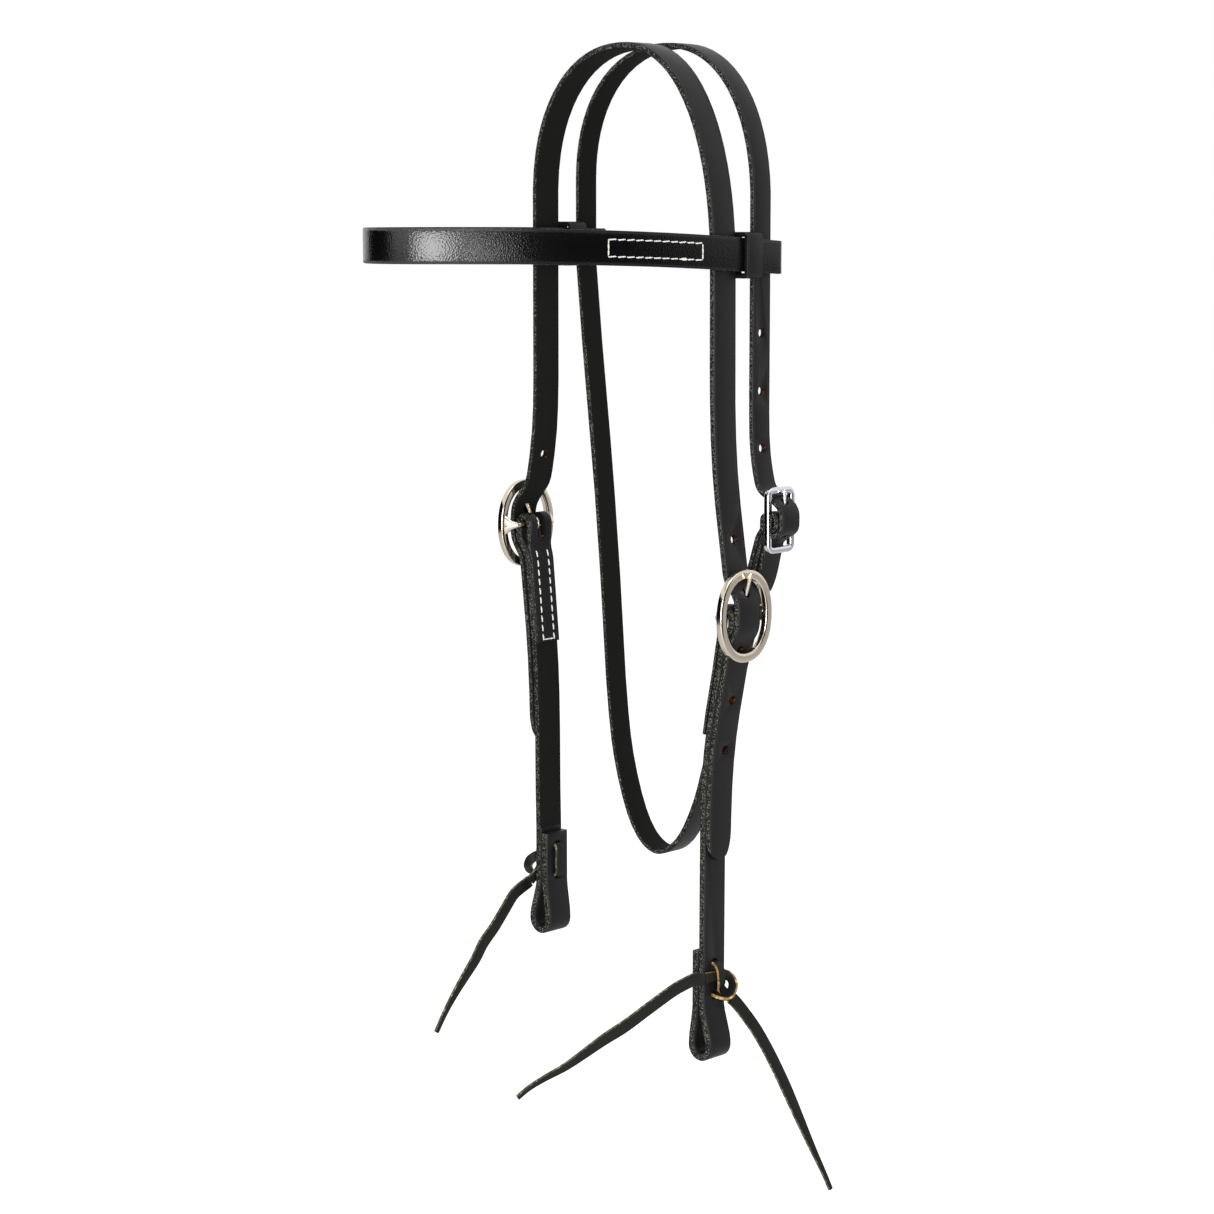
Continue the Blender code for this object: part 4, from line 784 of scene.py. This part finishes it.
boxThread = {"count": 12, "length": 4.7 * mm, "slant": 5.0, "knotFrom": 13 * mm,
             "knotTo": 16 * mm, "knotLength": 2.6 * mm, "knotWidth": 1.5 * mm,
             "planSteps": 400, "endSteps": 8, "clear": 10 * mm}
bandSurface = surfaceOf("browband")
middle = (band["nearOut"] - band["offOut"]) / 2
halfWidth = (band["nearOut"] + band["offOut"]) / 2
for side, sign in sideSign.items():
    plan, gone, previous = [], 0.0, None
    for k in range(boxThread["planSteps"]):
        angle = math.pi / 2 * k / boxThread["planSteps"]
        at = Vector((middle + sign * halfWidth * math.cos(angle),
                     -band["depth"] * math.sin(angle), 0.0))
        gone += (at - previous).length if previous else 0.0
        previous = at
        if band["boxStart"] <= gone <= band["boxStart"] + band["boxLength"]:
            outward = Vector((sign * math.cos(angle) / halfWidth, -math.sin(angle) / band["depth"],
                              0.0)).normalized()
            plan.append((at + outward * boxThread["clear"], -outward, gone - band["boxStart"]))
    node = side + "_browband_stitching"
    half = band["boxHeight"] / 2
    long, ends, knot = [], [], []
    # The first and last stitch of a long side end at its corners
    pitch = band["boxLength"] / boxThread["count"]
    for rise in (half, -half):
        long.append([hit for at, way, gone in plan
                     if pitch / 2 <= gone <= band["boxLength"] - pitch / 2
                     for hit in rowOn(bandSurface, [at + zAxis * (bandCentreZ(at) + rise)], way)])
    # Each short side is one long stitch, laid at the start of a row from its middle
    for at, way, gone in (plan[0], plan[-1]):
        ends.append(rowOn(bandSurface, [
            at + zAxis * (bandCentreZ(at) - half * k / boxThread["endSteps"])
            for k in range(boxThread["endSteps"] + 1)], way))
    # The thread's ends are tied off in the lower row
    for at, way, gone in plan:
        if boxThread["knotFrom"] < gone < boxThread["knotTo"]:
            knot += rowOn(bandSurface, [at + zAxis * (bandCentreZ(at) - half)], way)
    layRows(node + "_long", node, long, pitch, boxThread["length"], sign * boxThread["slant"])
    layRows(node + "_ends", node, ends, band["boxHeight"], band["boxHeight"], last=0.5)
    layRows(node + "_knot", node, [knot], band["boxHeight"], boxThread["knotLength"],
            width=boxThread["knotWidth"], last=0.5)


# Buckles

print("buckles")
ring = {"height": 46 * mm, "width": 39 * mm, "face": 4.5 * mm, "thickness": 3.3 * mm,
        "power": 2.2, "steps": 160, "ease": 0.6 * mm, "bar": 3.2 * mm, "drop": 6.0 * mm,
        "lugHeight": 10 * mm, "lugThickness": 2.8 * mm, "lugLean": 4.5 * mm}
ringPlace = {"near": (75.0 * mm, -277 * mm), "off": (75.8 * mm, -242 * mm)}
# A lug on its way from the ring to the bar: shares of the drop, the lean and its own height
lugShares = ((1.0, 0.0, 1.0), (0.72, 0.2, 1.0), (0.3, 0.6, 0.5))
for side, sign in sideSign.items():
    out, z = ringPlace[side]
    line = []
    for k in range(ring["steps"]):
        angle = math.tau * k / ring["steps"]
        c, s = math.cos(angle), math.sin(angle)
        back = (ring["width"] - ring["face"]) / 2 * math.copysign(abs(c) ** (2 / ring["power"]), c)
        up = (ring["height"] - ring["face"]) / 2 * math.copysign(abs(s) ** (2 / ring["power"]), s)
        line.append(Vector((sign * out, back, z + up)))
    oval = loftLine(side + "_cheek_buckle_plate", line, xAxis,
                    lambda i: roundedSection(ring["thickness"], ring["face"], ring["ease"]),
                    [warmNickel], lambda k: 0, closed=True)
    lugBack = (ring["width"] - ring["face"]) / 2
    drop, lugHeight, lugThickness, bar, lean = (
        ring[key] for key in ("drop", "lugHeight", "lugThickness", "bar", "lugLean"))
    stations = [(fall * drop, lugBack - inward * lean, tall * lugHeight, lugThickness)
                for fall, inward, tall in lugShares]
    stations += [(0.0, lugBack - lean, bar, bar), (0.0, lugBack - lean - bar / 2, bar, bar)]
    stations += [(u, -y, w, t) for u, y, w, t in reversed(stations)]
    barLine = [Vector((sign * (out - drop + u), y, z)) for u, y, w, t in stations]
    barPiece = loftLine(side + "_cheek_buckle_bar", barLine, zAxis,
                        lambda i, stations=stations: ovalSection(*stations[i][2:]),
                        [warmNickel], lambda k: 0)
    for piece in (oval, barPiece):
        standFor(piece, side + "_cheek_buckle_frame")

throatBuckle = {"height": 33 * mm, "width": 21 * mm, "wire": 3.3 * mm, "corner": 2.8 * mm,
                "middle": Vector((72 * mm, 30 * mm, -232 * mm)), "cornerSteps": 10,
                "ease": 0.9 * mm}
wire, bend = throatBuckle["wire"], throatBuckle["corner"]
halfBack, halfUp = (throatBuckle["width"] - wire) / 2, (throatBuckle["height"] - wire) / 2
line = []
for ySign, zSign, start in corners:
    for k in range(throatBuckle["cornerSteps"] + 1):
        angle = math.pi * (start + 0.5 * k / throatBuckle["cornerSteps"])
        line.append(throatBuckle["middle"] + Vector((
            0, ySign * (halfBack - bend) + bend * math.cos(angle),
            zSign * (halfUp - bend) + bend * math.sin(angle))))
rectangle = loftLine("throatlatch_buckle_wire", line, xAxis,
                     lambda i: roundedSection(wire, wire, throatBuckle["ease"]),
                     [brightChrome], lambda k: 0, closed=True)
barLine = [throatBuckle["middle"] + Vector((0, y, 0)) for y in (-halfBack, halfBack)]
throatBar = loftLine("throatlatch_buckle_bar", barLine, zAxis,
                     lambda i: ovalSection(wire, wire), [brightChrome], lambda k: 0)
for piece in (rectangle, throatBar):
    standFor(piece, "throatlatch_buckle_frame")

tongues = {"near_cheek_buckle_tongue": warmNickel, "off_cheek_buckle_tongue": warmNickel,
           "throatlatch_buckle_tongue": brightChrome}
allSmooth, roundingLevels = 180.0, 2
for node, metal in tongues.items():
    tongue = addPiece(node + "_pin", solidCopy(node), [metal], allSmooth)
    rounding = tongue.modifiers.new("rounded", "SUBSURF")
    rounding.levels = rounding.render_levels = roundingLevels
    standFor(tongue, node)


# Light, floor and white background

print("light")
# Two soft boxes beside the camera give the browband its two highlights
lamps = {
    "keyLamp": {"azimuth": 40, "elevation": 4, "wide": 0.85, "high": 0.8, "power": 17.0},
    "stripLamp": {"azimuth": 75, "elevation": 0, "wide": 0.12, "high": 0.8, "power": 3.4},
    "topLamp": {"azimuth": 60, "elevation": 78, "wide": 1.4, "high": 1.4, "power": 10.0},
}
lampDistance = 1.6
for name, lamp in lamps.items():
    data = bpy.data.lights.new(name, "AREA")
    data.shape = "RECTANGLE"
    data.size, data.size_y, data.energy = lamp["wide"], lamp["high"], lamp["power"]
    light = bpy.data.objects.new(name, data)
    placeAround(light, lamp["azimuth"], lamp["elevation"], lampDistance)
    bpy.context.scene.collection.objects.link(light)

# Black flags on both sides, seen only in reflections, give the plating its dark side walls
# and the browband its depth between the highlights
flags = {"nearFlag": {"azimuth": 100, "size": 1.05}, "offFlag": {"azimuth": -50, "size": 1.35}}
flagElevation, flagDistance = -8, 1.9
blackCloth, tree = startMaterial("blackFlagCloth")
cloth = addNode(tree, "ShaderNodeBsdfPrincipled", {
    "Base Color": toLinear("#050505"), "Roughness": 1.0, "Specular IOR Level": 0.0})
addNode(tree, "ShaderNodeOutputMaterial", {"Surface": (cloth, "BSDF")})
for name, board in flags.items():
    built = bmesh.new()
    bmesh.ops.create_grid(built, x_segments=1, y_segments=1, size=board["size"])
    flag = addPiece(name, built, [blackCloth])
    placeAround(flag, board["azimuth"], flagElevation, flagDistance)
    flag.visible_camera = flag.visible_diffuse = flag.visible_shadow = False

# The room is white to the camera and in reflections, and lights the leather more softly
room = {"fill": 0.55, "white": 1.0}
world = bpy.data.worlds.new("studio")
bpy.context.scene.world = world
world.use_nodes = True
world.node_tree.nodes.clear()
sky = world.node_tree
ray = addNode(sky, "ShaderNodeLightPath", {})
mirrored = addNode(sky, "ShaderNodeMath", {0: (ray, "Is Glossy Ray"),
                                           1: (ray, "Is Transmission Ray")},
                   operation="MAXIMUM")
seen = addNode(sky, "ShaderNodeMath", {0: (ray, "Is Camera Ray"), 1: (mirrored, 0)},
               operation="MAXIMUM")
strength = addNode(sky, "ShaderNodeMapRange", {
    "Value": (seen, 0), "To Min": room["fill"], "To Max": room["white"]})
backdrop = addNode(sky, "ShaderNodeBackground", {"Color": (1.0, 1.0, 1.0, 1.0),
                                                 "Strength": (strength, "Result")})
addNode(sky, "ShaderNodeOutputWorld", {"Surface": (backdrop, "Background")})

paperPlan = {"size": 6.0, "drop": 0.11, "glow": 0.6}
built = bmesh.new()
bmesh.ops.create_grid(built, x_segments=1, y_segments=1, size=paperPlan["size"])
for vert in built.verts:
    vert.co.z = cadBox[0].z - paperPlan["drop"]
# Matt white paper, lifted for the camera alone, so that only the soft shadow shows on it
whiteFloor, tree = startMaterial("matteWhitePaper")
ray = addNode(tree, "ShaderNodeLightPath", {})
glow = addNode(tree, "ShaderNodeMapRange", {
    "Value": (ray, "Is Camera Ray"), "To Min": 0.0, "To Max": paperPlan["glow"]})
paper = addNode(tree, "ShaderNodeBsdfPrincipled", {
    "Base Color": (0.85, 0.85, 0.85, 1.0), "Roughness": 0.9, "Specular IOR Level": 0.0,
    "Emission Color": (1.0, 1.0, 1.0, 1.0), "Emission Strength": (glow, "Result")})
addNode(tree, "ShaderNodeOutputMaterial", {"Surface": (paper, "BSDF")})
floor = addPiece("floor", built, [whiteFloor])
bpy.context.scene.view_settings.view_transform = "Standard"

print("done")
